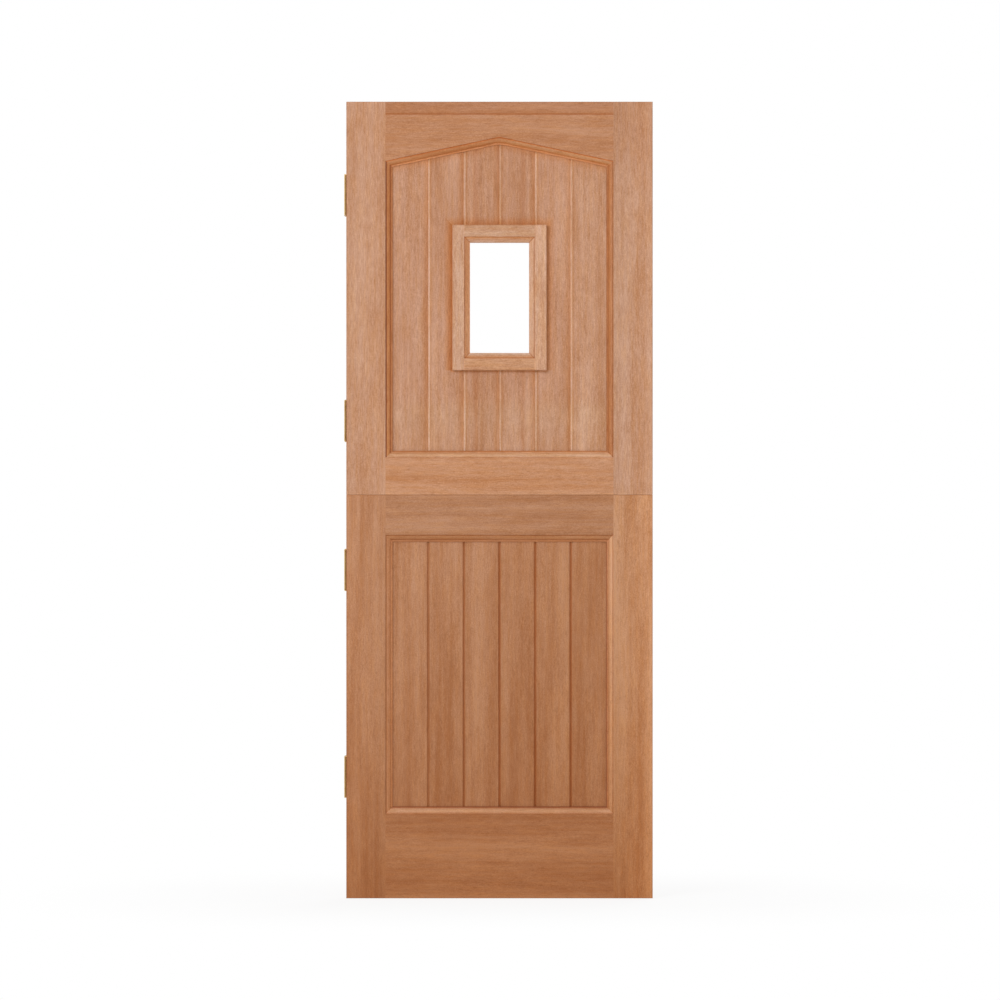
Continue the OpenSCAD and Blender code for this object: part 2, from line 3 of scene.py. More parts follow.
import bpy
import numpy as np
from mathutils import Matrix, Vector

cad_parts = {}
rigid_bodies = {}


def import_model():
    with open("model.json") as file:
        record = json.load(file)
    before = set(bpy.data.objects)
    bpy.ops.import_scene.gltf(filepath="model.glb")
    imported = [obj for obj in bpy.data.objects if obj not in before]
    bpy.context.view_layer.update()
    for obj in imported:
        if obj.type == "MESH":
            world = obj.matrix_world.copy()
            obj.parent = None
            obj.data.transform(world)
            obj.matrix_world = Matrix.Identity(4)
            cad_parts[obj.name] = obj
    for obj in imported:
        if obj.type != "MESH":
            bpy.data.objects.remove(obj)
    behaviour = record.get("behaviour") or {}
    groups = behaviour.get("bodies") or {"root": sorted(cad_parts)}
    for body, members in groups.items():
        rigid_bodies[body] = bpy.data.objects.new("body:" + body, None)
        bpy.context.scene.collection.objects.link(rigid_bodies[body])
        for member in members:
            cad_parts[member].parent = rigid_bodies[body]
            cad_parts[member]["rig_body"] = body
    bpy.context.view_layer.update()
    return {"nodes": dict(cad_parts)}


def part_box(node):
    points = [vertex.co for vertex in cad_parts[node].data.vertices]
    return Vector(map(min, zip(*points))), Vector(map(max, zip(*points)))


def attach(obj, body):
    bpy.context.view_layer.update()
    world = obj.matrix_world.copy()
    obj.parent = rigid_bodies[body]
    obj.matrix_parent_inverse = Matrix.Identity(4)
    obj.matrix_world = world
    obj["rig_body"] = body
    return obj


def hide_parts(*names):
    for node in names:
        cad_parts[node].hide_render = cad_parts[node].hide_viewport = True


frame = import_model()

bl_info = {
    "name": "Stable door finish",
    "version": (1, 0, 0),
    "blender": (4, 5, 0),
    "location": "View3D > Sidebar > Stable door",
    "description": "Timber, brass and stage for a two-leaf stable door",
    "category": "Object",
}

# Pieces by kind
UPPER_BOARDS = [
    "upper_board_1",
    "upper_board_2",
    "upper_board_3_above_light",
    "upper_board_3_below_light",
    "upper_board_4_above_light",
    "upper_board_4_below_light",
    "upper_board_5",
    "upper_board_6",
]
LOWER_BOARDS = ["lower_board_%d" % i for i in range(1, 7)]
HINGES = ["upper_top", "upper_bottom", "lower_top", "lower_bottom"]


def tone(red, green, blue):
    """A screen colour from 0 to 255 as the linear colour that a shader takes."""
    share = np.array([red, green, blue]) / 255.0
    linear = np.where(share <= 0.04045, share / 12.92, ((share + 0.055) / 1.055) ** 2.4)
    return tuple(float(v) for v in linear)


def low_high(name):
    """Lowest and highest corner of a node, as two tuples in metres."""
    low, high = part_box(name)
    return tuple(low), tuple(high)


# Width of the moulding, rise and crown of the arch and about half the gap between the leaves
MOULDING = 0.0175
ARCH_RISE = 0.060
ARCH_CROWN = 1.894
HALF_GAP = 0.0004

# Places read from the model: the edges of the door and the panel, the sunk lines, the light and the leaves
DOOR_HALF = low_high("upper_closing_stile")[1][0]
DOOR_TOP = low_high("upper_closing_stile")[1][2]
FRONT = low_high("upper_closing_stile")[0][1]
PANEL_HALF = low_high("upper_closing_stile")[0][0]
SUNK_HALF = PANEL_HALF + MOULDING
BOARD_PITCH = 2 * PANEL_HALF / 6
ARCH_SLOPE = ARCH_RISE / SUNK_HALF
LIGHT_LOW = low_high("light_frame_front_left")[0]
LIGHT_HIGH = low_high("light_frame_front_right")[1]
LIGHT_HALF_W = LIGHT_HIGH[0]
LIGHT_HALF_H = (LIGHT_HIGH[2] - LIGHT_LOW[2]) / 2
LIGHT_MID = (LIGHT_HIGH[2] + LIGHT_LOW[2]) / 2
STRIP_FOOT = low_high("upper_arched_top_rail")[1][2]
UPPER_LINE = low_high("upper_meeting_rail")[1][2] - MOULDING
LOWER_LINE = low_high("lower_meeting_rail")[0][2] + MOULDING
FOOT_LINE = low_high("lower_bottom_rail")[1][2] - MOULDING
MEETING = low_high("lower_closing_stile")[1][2] + HALF_GAP

# Distance of the darker stripes from the middle of the upper panel
STRIPE_PLACE = 0.059

# Hinge screws, as the plates are drilled for them, with the ease of a turned screw inside the plain one
SCREW_HEAD = 0.00445
SCREW_NECK = 0.00245
SCREW_SINK = 0.00165
SCREW_SHANK = 0.0018
SCREW_LENGTH = 0.032
SCREW_EASE = 0.00005
NECK_RUN = 0.0004

# Cross in a screw's head: half the width of an arm, its reach, how far each fades, and the face's margin
CROSS_ARM = 0.00062
CROSS_ARM_FADE = 0.00022
CROSS_REACH = 0.00255
CROSS_REACH_FADE = 0.00035
FACE_MARGIN = 0.00015

# Thread of a screw: its start, the run over which it grows, its depth, half a ridge as a share of the pitch
THREAD_START = 0.0090
THREAD_RUN = 0.0015
THREAD_DEPTH = 0.0005
RIDGE_SHARE = 0.26

# Point of a screw, its smallest radius, and what is left clear at both ends of the thread
POINT_LENGTH = 0.0060
TIP_RADIUS = 0.00002
RING_STEP = 0.0002

# Hinge pins: radius of the shank, and play between the knuckles and a button
PIN_SHANK = 0.003
PIN_PLAY = 0.00015

# Columns and rings of the turned surfaces
SCREW_COLUMNS = 36
FACE_RINGS = 22
THREAD_RINGS = 112
PIN_COLUMNS = 40
BUTTON_RINGS = 9

# Stage: gap under the door, lines of the floor's grid, light from all round, width of sensor and picture
FLOOR_DROP = 0.0006
FLOOR_LINES = 9
ROUND_LIGHT = 0.53
SENSOR_WIDTH = 36.0
PICTURE_WIDTH = 1000.0

# Grain: cells for a metre across and along the fibre, then detail and roughness of the noise
DRIFT = (7.0, 1.6, 2.0, 0.5)
BAND = (24.0, 1.1, 2.0, 0.5)
STREAK = (110.0, 4.0, 4.0, 0.6)
MOTTLE = (40.0, 14.0, 3.0, 0.6)
DASH = (360.0, 46.0, 2.0, 0.7)
WARMTH = (150.0, 16.0, 2.0, 0.6)
FLECK = (620.0, 300.0, 1.0, 0.6)
PORE = (620.0, 70.0, 1.0, 0.5)
SPECK = (700.0, 700.0, 2.0, 0.5)

# Colour of the pores, and tint of the warm patches
PORE_COLOUR = (0.22, 0.085, 0.030)
WARM_PATCH = (1.02, 0.98, 0.87)

# Brass: the same four values for its brush lines, clouds and dull spots
BRUSH = (2600.0, 60.0, 3.0, 0.6)
CLOUD = (70.0, 70.0, 3.0, 0.5)
SPOT = (420.0, 420.0, 2.0, 0.5)

# Colour of the dull spots, tint of the tarnish, and depth of the brush lines
SPOT_COLOUR = (0.20, 0.12, 0.05)
TARNISH = (0.86, 0.74, 0.56)
BRUSH_DEPTH = 0.00005

# What every colour and every length of the sidebar has in common
COLOUR = {"subtype": "COLOR", "size": 3, "min": 0.0, "max": 1.0}
LENGTH = {"subtype": "DISTANCE", "unit": "LENGTH"}


class DoorColours(bpy.types.PropertyGroup):
    """Colours of the timber and the brass."""

    stile_pale: bpy.props.FloatVectorProperty(
        name="Upper stiles, pale", description="Palest wood of the upper stiles",
        default=tone(203, 158, 131), **COLOUR)
    stile_deep: bpy.props.FloatVectorProperty(
        name="Upper stiles, deep", description="Deepest wood of the upper stiles",
        default=tone(180, 126, 89), **COLOUR)
    rail_pale: bpy.props.FloatVectorProperty(
        name="Upper rails, pale", description="Palest wood of the upper rails",
        default=tone(200, 148, 114), **COLOUR)
    rail_deep: bpy.props.FloatVectorProperty(
        name="Upper rails, deep", description="Deepest wood of the upper rails",
        default=tone(178, 118, 75), **COLOUR)
    board_pale: bpy.props.FloatVectorProperty(
        name="Upper boards, pale", description="Palest wood of the upper panel",
        default=tone(198, 151, 124), **COLOUR)
    board_deep: bpy.props.FloatVectorProperty(
        name="Upper boards, deep", description="Deepest wood of the upper panel",
        default=tone(172, 118, 82), **COLOUR)
    lower_pale: bpy.props.FloatVectorProperty(
        name="Lower leaf, pale", description="Palest wood of the lower leaf",
        default=tone(191, 140, 106), **COLOUR)
    lower_deep: bpy.props.FloatVectorProperty(
        name="Lower leaf, deep", description="Deepest wood of the lower leaf",
        default=tone(165, 108, 68), **COLOUR)
    light_pale: bpy.props.FloatVectorProperty(
        name="Light, pale", description="Palest wood of the frame round the light",
        default=tone(211, 170, 144), **COLOUR)
    light_deep: bpy.props.FloatVectorProperty(
        name="Light, deep", description="Deepest wood of the frame round the light",
        default=tone(185, 132, 97), **COLOUR)
    brass: bpy.props.FloatVectorProperty(
        name="Hinge brass", description="Colour of the satin brass hinges",
        default=tone(203, 165, 104), **COLOUR)


class DoorSizes(bpy.types.PropertyGroup):
    """Sizes of the added pieces and the place of the camera."""

    pore_depth: bpy.props.FloatProperty(
        name="Pore depth", description="Depth of the pores in the wood",
        default=0.00025, min=0.0, max=0.002, precision=5, **LENGTH)
    thread_pitch: bpy.props.FloatProperty(
        name="Thread pitch", description="Distance between two turns of a screw's thread",
        default=0.0018, min=0.001, max=0.004, precision=5, **LENGTH)
    recess_depth: bpy.props.FloatProperty(
        name="Recess depth", description="Depth of the cross in a screw's head",
        default=0.0012, min=0.0, max=0.003, precision=5, **LENGTH)
    camera_distance: bpy.props.FloatProperty(
        name="Camera distance", description="Distance from the camera to the front of the door",
        default=12.0, min=4.0, max=40.0, **LENGTH)
    picture_scale: bpy.props.FloatProperty(
        name="Picture scale", description="Pixels for a metre of the door in a picture 1000 pixels wide",
        default=402.1, min=100.0, max=900.0)
    floor_half: bpy.props.FloatProperty(
        name="Floor", description="Half the side of the floor",
        default=30.0, min=2.0, max=100.0, **LENGTH)


class Finish:
    """Builds the nodes of one material, one short call for each node."""

    def __init__(self, name):
        self.material = bpy.data.materials.new(name)
        self.material.use_nodes = True
        self.tree = self.material.node_tree
        self.shader = self.tree.nodes["Principled BSDF"]
        self.coordinates = self.add("ShaderNodeTexCoord")
        self.place = self.coordinates.outputs["Object"]
        self.x, self.y, self.z = self.parts(self.place)

    def add(self, kind, **settings):
        """Adds one node with its settings."""
        node = self.tree.nodes.new(kind)
        for key, value in settings.items():
            setattr(node, key, value)
        return node

    def put(self, value, socket):
        """Links an output to a socket, or writes a plain value on it."""
        if isinstance(value, bpy.types.NodeSocket):
            self.tree.links.new(value, socket)
        else:
            socket.default_value = value

    def parts(self, vector):
        """The three numbers of a vector."""
        node = self.add("ShaderNodeSeparateXYZ")
        self.put(vector, node.inputs[0])
        return node.outputs[0], node.outputs[1], node.outputs[2]

    def join(self, x, y, z):
        """A vector from three numbers."""
        node = self.add("ShaderNodeCombineXYZ")
        for value, socket in zip((x, y, z), node.inputs):
            self.put(value, socket)
        return node.outputs[0]

    def math(self, operation, first, second=0.0, third=0.0):
        """One step of arithmetic on numbers."""
        node = self.add("ShaderNodeMath", operation=operation)
        for value, socket in zip((first, second, third), node.inputs):
            self.put(value, socket)
        return node.outputs[0]

    def about(self, figure, weight, base):
        """Base plus weight times how far a figure lies from one half."""
        return self.math("MULTIPLY_ADD", self.math("SUBTRACT", figure, 0.5), weight, base)

    def both(self, first, second):
        """Share where two shares hold together."""
        return self.math("MULTIPLY", first, second)

    def vector(self, operation, first, second):
        """One step of arithmetic on vectors."""
        node = self.add("ShaderNodeVectorMath", operation=operation)
        self.put(first, node.inputs[0])
        self.put(second, node.inputs[1])
        return node.outputs[0]

    def noise(self, vector, across, along, detail=2.0, roughness=0.5):
        """Soft noise stretched along the third axis: across and along are cells for a metre."""
        scaled = self.vector("MULTIPLY", vector, (across, across, along))
        node = self.add("ShaderNodeTexNoise", noise_dimensions="3D")
        self.put(scaled, node.inputs["Vector"])
        node.inputs["Scale"].default_value = 1.0
        node.inputs["Detail"].default_value = detail
        node.inputs["Roughness"].default_value = roughness
        return node

    def span(self, value, low, high, first=0.0, last=1.0, smooth=True):
        """Carries value from low..high to first..last, held at both ends."""
        node = self.add("ShaderNodeMapRange")
        node.interpolation_type = "SMOOTHSTEP" if smooth else "LINEAR"
        node.clamp = True
        for number, socket in zip((value, low, high, first, last), node.inputs):
            self.put(number, socket)
        return node.outputs[0]

    def blend(self, share, first, second, kind="MIX"):
        """Mixes two colours by a share."""
        node = self.add("ShaderNodeMix", data_type="RGBA", blend_type=kind)
        self.put(share, node.inputs[0])
        self.put(self.colour(first), node.inputs[6])
        self.put(self.colour(second), node.inputs[7])
        return node.outputs[2]

    def colour(self, value):
        """A colour as a socket takes it."""
        if isinstance(value, bpy.types.NodeSocket):
            return value
        return tuple(value) + (1.0,)

    def grey(self, value):
        """One number as a colour with three equal parts."""
        node = self.add("ShaderNodeCombineColor")
        for socket in node.inputs:
            self.put(value, socket)
        return node.outputs[0]

    def chance(self, number):
        """Three random numbers from 0 to 1 that belong to a piece's number."""
        node = self.add("ShaderNodeTexWhiteNoise", noise_dimensions="1D")
        self.put(number, node.inputs["W"])
        return node.outputs["Color"], node.outputs["Value"]

    def stops(self, value, places):
        """A colour that runs through the given places from 0 to 1."""
        node = self.add("ShaderNodeValToRGB")
        self.put(value, node.inputs[0])
        stops = node.color_ramp.elements
        while len(stops) < len(places):
            stops.new(0.5)
        for stop, (place, shade) in zip(stops, places):
            stop.position = place
            stop.color = tuple(shade) + (1.0,)
        return node.outputs[0]

    def relief(self, height, strength, distance):
        """Fine relief on the surface: height from 0 to 1 stands for distance in metres."""
        bump = self.add("ShaderNodeBump")
        bump.inputs["Strength"].default_value = strength
        bump.inputs["Distance"].default_value = distance
        self.put(height, bump.inputs["Height"])
        self.put(bump.outputs["Normal"], self.shader.inputs["Normal"])

    def arris(self, low, high, width, mirrored):
        """Strength of a mark along a box's edges.

        It is 1 where the middle one of the three distances to the box's faces is 0, and 0 past width.
        """
        x = self.math("ABSOLUTE", self.x) if mirrored else self.x
        reach = []
        for value, first, last in zip((x, self.y, self.z), low, high):
            rise = self.math("SUBTRACT", value, first)
            fall = self.math("SUBTRACT", last, value)
            reach.append(self.math("MINIMUM", rise, fall))
        small = self.math("MINIMUM", reach[0], reach[1])
        large = self.math("MAXIMUM", reach[0], reach[1])
        middle = self.math("MAXIMUM", small, self.math("MINIMUM", large, reach[2]))
        return self.span(middle, 0.0, width, 1.0, 0.0)


def timber(name, tones, along="z", number=None, seed=0.0, sway=0.004, spread=0.0, uneven=0.0,
           marks=None, fine=1.0):
    """Sawn and sanded hardwood, where tones holds its pale and its deep colour.

    Colour: pale to deep wood mixed by a broad band, a fine streak, a mottle, short
    dashes and flecks, all noise stretched along the grain, then warmed in patches
    and darkened by pores.
    Each piece, told apart by its number, takes its own part of the figure and
    its own tone within spread, and uneven adds brightness for each step of the number.
    Sway is how far the fibre wanders in metres.
    Where fine is under 1 the dashes are weaker and the broad band is stronger.
    The cut ends of the fibre are darker and speckled.
    """
    n = Finish(name)
    sizes = bpy.context.scene.door_sizes
    index = number(n) if number else 0.0
    jump, luck = n.chance(n.math("ADD", index, seed))
    lengthwise = n.join(n.z, n.y, n.x) if along == "x" else n.place
    fibre = n.vector("ADD", lengthwise, n.vector("MULTIPLY", jump, (5.0, 5.0, 5.0)))
    drift = n.noise(fibre, *DRIFT).outputs["Color"]
    drift = n.vector("SUBTRACT", drift, (0.5, 0.5, 0.5))
    fibre = n.vector("ADD", fibre, n.vector("MULTIPLY", drift, (sway, sway, 0.0)))

    figures = (BAND, STREAK, MOTTLE, DASH, WARMTH, FLECK, PORE)
    grain = [n.noise(fibre, *figure).outputs["Fac"] for figure in figures]
    band, streak, mottle, dash, warmth, fleck, pore = grain
    pore = n.span(pore, 0.60, 0.74)

    share = n.about(band, 2.5 - fine, 0.5)
    share = n.about(streak, 0.9, share)
    share = n.about(mottle, 0.8, share)
    share = n.about(dash, 1.4 * fine, share)
    share = n.about(fleck, 1.1, share)
    share = n.span(share, -0.2, 1.2, -0.2, 1.2, smooth=False)
    wood = n.blend(share, *tones)

    level = n.about(luck, spread * 2.0, 1.0)
    level = n.math("MULTIPLY_ADD", index, uneven, level)
    level = n.about(dash, -0.22 * fine, level)
    level = n.about(fleck, -0.12, level)
    wood = n.blend(1.0, wood, n.grey(level), "MULTIPLY")
    wood = tint(n, wood, n.span(warmth, 0.40, 0.66), WARM_PATCH)
    wood = n.blend(n.math("MULTIPLY", pore, 0.25), wood, PORE_COLOUR)

    facing = n.parts(n.coordinates.outputs["Normal"])[0 if along == "x" else 2]
    end = n.span(n.math("ABSOLUTE", facing), 0.75, 0.97)
    speck = n.span(n.noise(n.place, *SPECK).outputs["Fac"], 0.35, 0.7, 0.62, 0.92)
    wood = n.blend(end, wood, n.blend(1.0, wood, n.grey(speck), "MULTIPLY"))
    if marks:
        wood = marks(n, wood)
    n.put(wood, n.shader.inputs["Base Color"])

    rough = n.about(streak, 0.25, 0.56)
    rough = n.math("MULTIPLY_ADD", pore, 0.12, rough)
    n.put(rough, n.shader.inputs["Roughness"])
    n.shader.inputs["Specular IOR Level"].default_value = 0.28
    height = n.math("MULTIPLY_ADD", dash, 0.5, n.math("SUBTRACT", 1.0, pore))
    n.relief(height, 0.55, sizes.pore_depth)
    return n.material


def brass(name, colour, along="z", rough=0.32):
    """Satin brass: fine brush lines along one axis, cloudy tarnish and small dull spots."""
    n = Finish(name)
    lengthwise = n.join(n.z, n.y, n.x) if along == "x" else n.place
    brush = n.noise(lengthwise, *BRUSH).outputs["Fac"]
    cloud = n.noise(n.place, *CLOUD).outputs["Fac"]
    spot = n.span(n.noise(n.place, *SPOT).outputs["Fac"], 0.62, 0.74)
    level = n.about(brush, 0.22, 1.0)
    level = n.about(cloud, -0.18, level)
    shade = n.blend(1.0, colour, n.grey(level), "MULTIPLY")
    shade = tint(n, shade, n.span(cloud, 0.45, 0.72), TARNISH)
    shade = n.blend(n.math("MULTIPLY", spot, 0.25), shade, SPOT_COLOUR)
    n.put(shade, n.shader.inputs["Base Color"])
    n.shader.inputs["Metallic"].default_value = 1.0
    dull = n.about(cloud, 0.3, rough)
    dull = n.math("MULTIPLY_ADD", spot, 0.25, dull)
    n.put(dull, n.shader.inputs["Roughness"])
    n.relief(brush, 0.2, BRUSH_DEPTH)
    return n.material


# Marks that a leaf's timber carries beside its own figure, many of them painted light and shade, with
# places and widths in metres

# Tints of the marks: each multiplies the red, green and blue of the wood
# Darker line along the edges of the stiles and rails
DARK_EDGE = (0.78, 0.64, 0.52)
# Painted highlight along the eased edges of the light's frame
EDGE_HIGHLIGHT = (1.10, 1.08, 1.05)
# Painted highlight where the two leaves meet, lifting the shade of the gap
MEETING_HIGHLIGHT = (1.08, 1.06, 1.03)
DOOR_FOOT = (0.82, 0.68, 0.48)
STILE_HEAD = (0.93, 0.88, 0.83)
GLUE_LINE = (0.84, 0.64, 0.44)
STRIP_LOW = (0.95, 0.87, 0.74)
# Painted highlight on the rounded member of the arch's right arm
ARCH_RIGHT_HIGHLIGHT = (1.09, 1.24, 1.46)
# Painted light and shade at the upper panel's vee joints: a highlight on the right wall, light on the left
# wall and shade in the bands beside
JOINT_HIGHLIGHT = (1.26, 1.54, 1.84)
JOINT_WALL_LIGHT = (1.22, 1.16, 1.02)
JOINT_LEFT_SHADE = (0.96, 0.86, 0.72)
JOINT_RIGHT_SHADE = (0.93, 0.84, 0.70)
DARK_JOINT = (0.92, 0.74, 0.58)
# Painted shade round the light's frame, deeper on its left side
LIGHT_FRAME_SHADE = (1.02, 0.84, 0.58)
LIGHT_LEFT_SHADE = (0.86, 0.72, 0.50)
# Painted shade on the boards under the arch
UNDER_ARCH_SHADE = (0.99, 0.86, 0.66)
# Darker stripes in the two middle upper boards
DARK_STRIPE = (0.93, 0.84, 0.74)
# Painted light at the foot of the upper panel, lifting the shade there
PANEL_FOOT_LIGHT = (1.03, 1.08, 1.085)
LAST_BOARD = (1.02, 1.05, 1.06)
OUTER_BOARDS = (1.03, 1.04, 1.05)
RIGHT_BOARDS = (1.01, 0.98, 0.92)
# Painted shade and painted highlights on the beads: shade on the left bead, near the frame on the cross
# beads and in the corner by the frame, highlights on their inner sides
LEFT_BEAD_SHADE = (1.08, 0.93, 0.74)
LEFT_BEAD_HIGHLIGHT = (1.12, 1.08, 1.02)
CROSS_BEAD_SHADE = (1.03, 0.88, 0.66)
CROSS_BEAD_HIGHLIGHT = (1.10, 1.24, 1.40)
BEAD_CORNER_SHADE = (0.80, 0.66, 0.52)
BEAD_MITRE = (0.80, 0.64, 0.50)

# Depth at which a moulding's painted light and shade starts, and heights between which the stiles deepen to
# the head
MOULDING_EDGE = 0.00005
HEAD_FADE = (1.70, 1.90)

# Painted light and shade in a moulding, one table for each side as the lamps fall on it: places from its
# sunk line at 0 to the panel at 1, with the tint of the wood there
UPPER_LEFT = (
    (0.00, (0.50, 0.25, 0.15)), (0.12, (0.50, 0.25, 0.15)), (0.22, (0.92, 0.71, 0.44)),
    (0.50, (1.00, 0.76, 0.45)), (0.72, (0.92, 0.59, 0.36)), (0.82, (0.92, 0.69, 0.41)),
    (0.95, (0.84, 0.60, 0.36)),
)
UPPER_RIGHT = (
    (0.00, (0.90, 0.66, 0.39)), (0.12, (0.90, 0.66, 0.39)), (0.22, (0.83, 0.62, 0.42)),
    (0.50, (0.87, 0.64, 0.38)), (0.74, (0.82, 0.56, 0.31)), (0.84, (0.80, 0.58, 0.34)),
    (0.95, (0.78, 0.56, 0.33)),
)
ARCH = (
    (0.00, (1.16, 0.78, 0.40)), (0.12, (1.16, 0.78, 0.40)), (0.22, (1.00, 0.88, 0.68)),
    (0.50, (0.98, 0.86, 0.65)), (0.72, (1.15, 0.88, 0.52)), (0.84, (1.20, 1.10, 0.92)),
    (0.95, (1.12, 0.95, 0.74)),
)
UPPER_FOOT = (
    (0.00, (1.14, 1.20, 1.24)), (0.12, (1.14, 1.20, 1.24)), (0.22, (1.14, 1.30, 1.46)),
    (0.50, (1.16, 1.32, 1.48)), (0.74, (1.14, 1.18, 1.16)), (0.86, (0.98, 0.86, 0.66)),
    (0.95, (0.72, 0.46, 0.22)),
)
LOWER_LEFT = (
    (0.00, (0.98, 0.84, 0.64)), (0.12, (0.98, 0.84, 0.64)), (0.22, (1.06, 1.03, 1.00)),
    (0.50, (1.18, 1.16, 1.12)), (0.74, (1.38, 1.36, 1.30)), (0.84, (1.12, 1.02, 0.88)),
    (0.95, (1.00, 0.88, 0.72)),
)
LOWER_RIGHT = (
    (0.00, (1.02, 0.97, 0.90)), (0.12, (1.02, 0.97, 0.90)), (0.22, (1.06, 1.08, 1.10)),
    (0.50, (1.04, 1.04, 1.02)), (0.74, (0.98, 0.93, 0.86)), (0.86, (0.88, 0.76, 0.62)),
    (0.95, (0.58, 0.38, 0.27)),
)
LOWER_TOP = (
    (0.00, (0.98, 0.79, 0.56)), (0.12, (0.98, 0.79, 0.56)), (0.22, (1.00, 0.92, 0.76)),
    (0.50, (0.98, 0.90, 0.74)), (0.74, (1.04, 0.80, 0.56)), (0.84, (1.02, 0.90, 0.72)),
    (0.95, (0.88, 0.68, 0.46)),
)
LOWER_FOOT = (
    (0.00, (1.30, 1.30, 1.30)), (0.10, (1.50, 1.60, 1.74)), (0.20, (1.28, 1.42, 1.60)),
    (0.55, (1.27, 1.44, 1.65)), (0.74, (1.25, 1.36, 1.48)), (0.84, (0.84, 0.62, 0.42)),
    (0.90, (0.54, 0.31, 0.19)),
)


def moulding_light_and_shade(n, wood, depth, finish):
    """Painted light and shade in a moulding, from the table finish: depth runs in metres from the sunk line
    to the panel.

    The stops hold half of each tint and the product is doubled, so that no stop is over 1.
    """
    place = n.span(depth, 0.0, MOULDING, 0.0, 1.0, smooth=False)
    halved = n.stops(place, [(stop, tuple(v / 2 for v in shade)) for stop, shade in finish])
    inside = n.math("GREATER_THAN", depth, MOULDING_EDGE)
    finished = n.vector("MULTIPLY", n.vector("MULTIPLY", wood, halved), (2.0, 2.0, 2.0))
    return n.blend(inside, wood, finished)


def tint(n, wood, share, shade):
    """Multiplies the wood by a shade where share is 1."""
    return n.blend(share, wood, n.blend(1.0, wood, shade, "MULTIPLY"))


def edge_tint(n, wood, low, high, shade=DARK_EDGE, width=0.0026, strength=0.5, mirrored=False):
    """Line along the edges of a piece whose box runs from low to high."""
    return tint(n, wood, n.math("MULTIPLY", n.arris(low, high, width, mirrored), strength), shade)


def foot_shade(n, wood, where=1.0):
    """Lower leaf: the wood deepens towards the foot, where the last value is 1."""
    share = n.span(n.z, 0.02, 0.95, 1.0, 0.0, smooth=False)
    return tint(n, wood, n.both(n.math("POWER", share, 1.3), where), DOOR_FOOT)


def meeting_highlight(n, wood):
    """Painted highlight along the eased edges where the two leaves meet, on the front, lifting the shade in
    the gap.
    """
    off = n.math("ABSOLUTE", n.math("SUBTRACT", n.z, MEETING))
    near = n.both(n.span(off, 0.0018, 0.0034, 1.0, 0.0), n.math("LESS_THAN", n.y, 0.0))
    return tint(n, wood, near, MEETING_HIGHLIGHT)


def face_shade(n, wood, inner, outer, head):
    """Wood of a stile's flat face.

    Its level runs from inner at the sunk line to outer at the edge, and head is the share of
    the deeper wood at the top.
    """
    across = n.math("ABSOLUTE", n.x)
    level = n.span(across, SUNK_HALF, DOOR_HALF, inner, outer, smooth=False)
    flat = n.math("GREATER_THAN", across, SUNK_HALF)
    wood = n.blend(flat, wood, n.blend(1.0, wood, n.grey(level), "MULTIPLY"))
    deeper = n.math("MULTIPLY", n.both(n.span(n.z, *HEAD_FADE), flat), head)
    return tint(n, wood, deeper, STILE_HEAD)


def stile_marks(name, finish, face, deepens):
    """Marks of a stile: the painted light and shade of its moulding, its flat face, its edges, the deeper
    foot of the lower leaf, and the painted highlight where the leaves meet.
    """
    low, high = low_high(name)

    def marks(n, wood):
        wood = moulding_light_and_shade(n, wood, n.math("SUBTRACT", SUNK_HALF, n.math("ABSOLUTE", n.x)), finish)
        wood = face_shade(n, wood, *face)
        if deepens:
            wood = foot_shade(n, wood)
        wood = edge_tint(n, wood, low, high)
        return meeting_highlight(n, wood)
    return marks


def long_edges(n, wood, name):
    """Line along the edges of a piece that lies across the door, but not at its ends."""
    low, high = low_high(name)
    return edge_tint(n, wood, (-1.0,) + low[1:], (1.0,) + high[1:])


def rail_marks(name, finish, line, upward=True, deepens=False):
    """Marks of a straight rail: the painted light and shade of its moulding, the deeper foot of the lower
    leaf where asked, its long edges and the painted highlight where the leaves meet.

    Line is the height of its sunk line, and upward says on which side the panel lies.
    """
    def marks(n, wood):
        depth = n.math("SUBTRACT", n.z, line) if upward else n.math("SUBTRACT", line, n.z)
        wood = moulding_light_and_shade(n, wood, depth, finish)
        if deepens:
            wood = foot_shade(n, wood, n.math("LESS_THAN", depth, MOULDING_EDGE))
        wood = long_edges(n, wood, name)
        return meeting_highlight(n, wood)
    return marks


def strip_seam(n, wood):
    """Glue line under the head strip."""
    off = n.math("ABSOLUTE", n.math("SUBTRACT", n.z, STRIP_FOOT))
    return tint(n, wood, n.span(off, 0.0006, 0.0030, 1.0, 0.0), GLUE_LINE)


def strip_marks(n, wood):
    """Marks of the head strip: warmer low down, the glue line and the edges."""
    wood = tint(n, wood, n.span(n.z, STRIP_FOOT, STRIP_FOOT + 0.022, 1.0, 0.0), STRIP_LOW)
    wood = strip_seam(n, wood)
    return long_edges(n, wood, "upper_head_strip")


def arch_depth(n):
    """Distance under the arch's sunk line, square to the arm of the arch."""
    across = n.math("ABSOLUTE", n.x)
    arm = n.math("MULTIPLY_ADD", across, -ARCH_SLOPE, ARCH_CROWN)
    return n.math("MULTIPLY", n.math("SUBTRACT", arm, n.z), 1.0 / (1.0 + ARCH_SLOPE ** 2) ** 0.5)


def arch_marks(n, wood):
    """Painted light and shade in the arch's moulding, a painted highlight on the rounded member of its
    right arm, and the glue line above.
    """
    depth = arch_depth(n)
    wood = moulding_light_and_shade(n, wood, depth, ARCH)
    member = n.both(n.span(depth, 0.0004, 0.0030), n.span(depth, 0.0095, 0.0125, 1.0, 0.25))
    member = n.both(member, n.span(depth, 0.0135, 0.0150, 1.0, 0.0))
    wood = tint(n, wood, n.both(member, n.span(n.x, -0.02, 0.03)), ARCH_RIGHT_HIGHLIGHT)
    return strip_seam(n, wood)


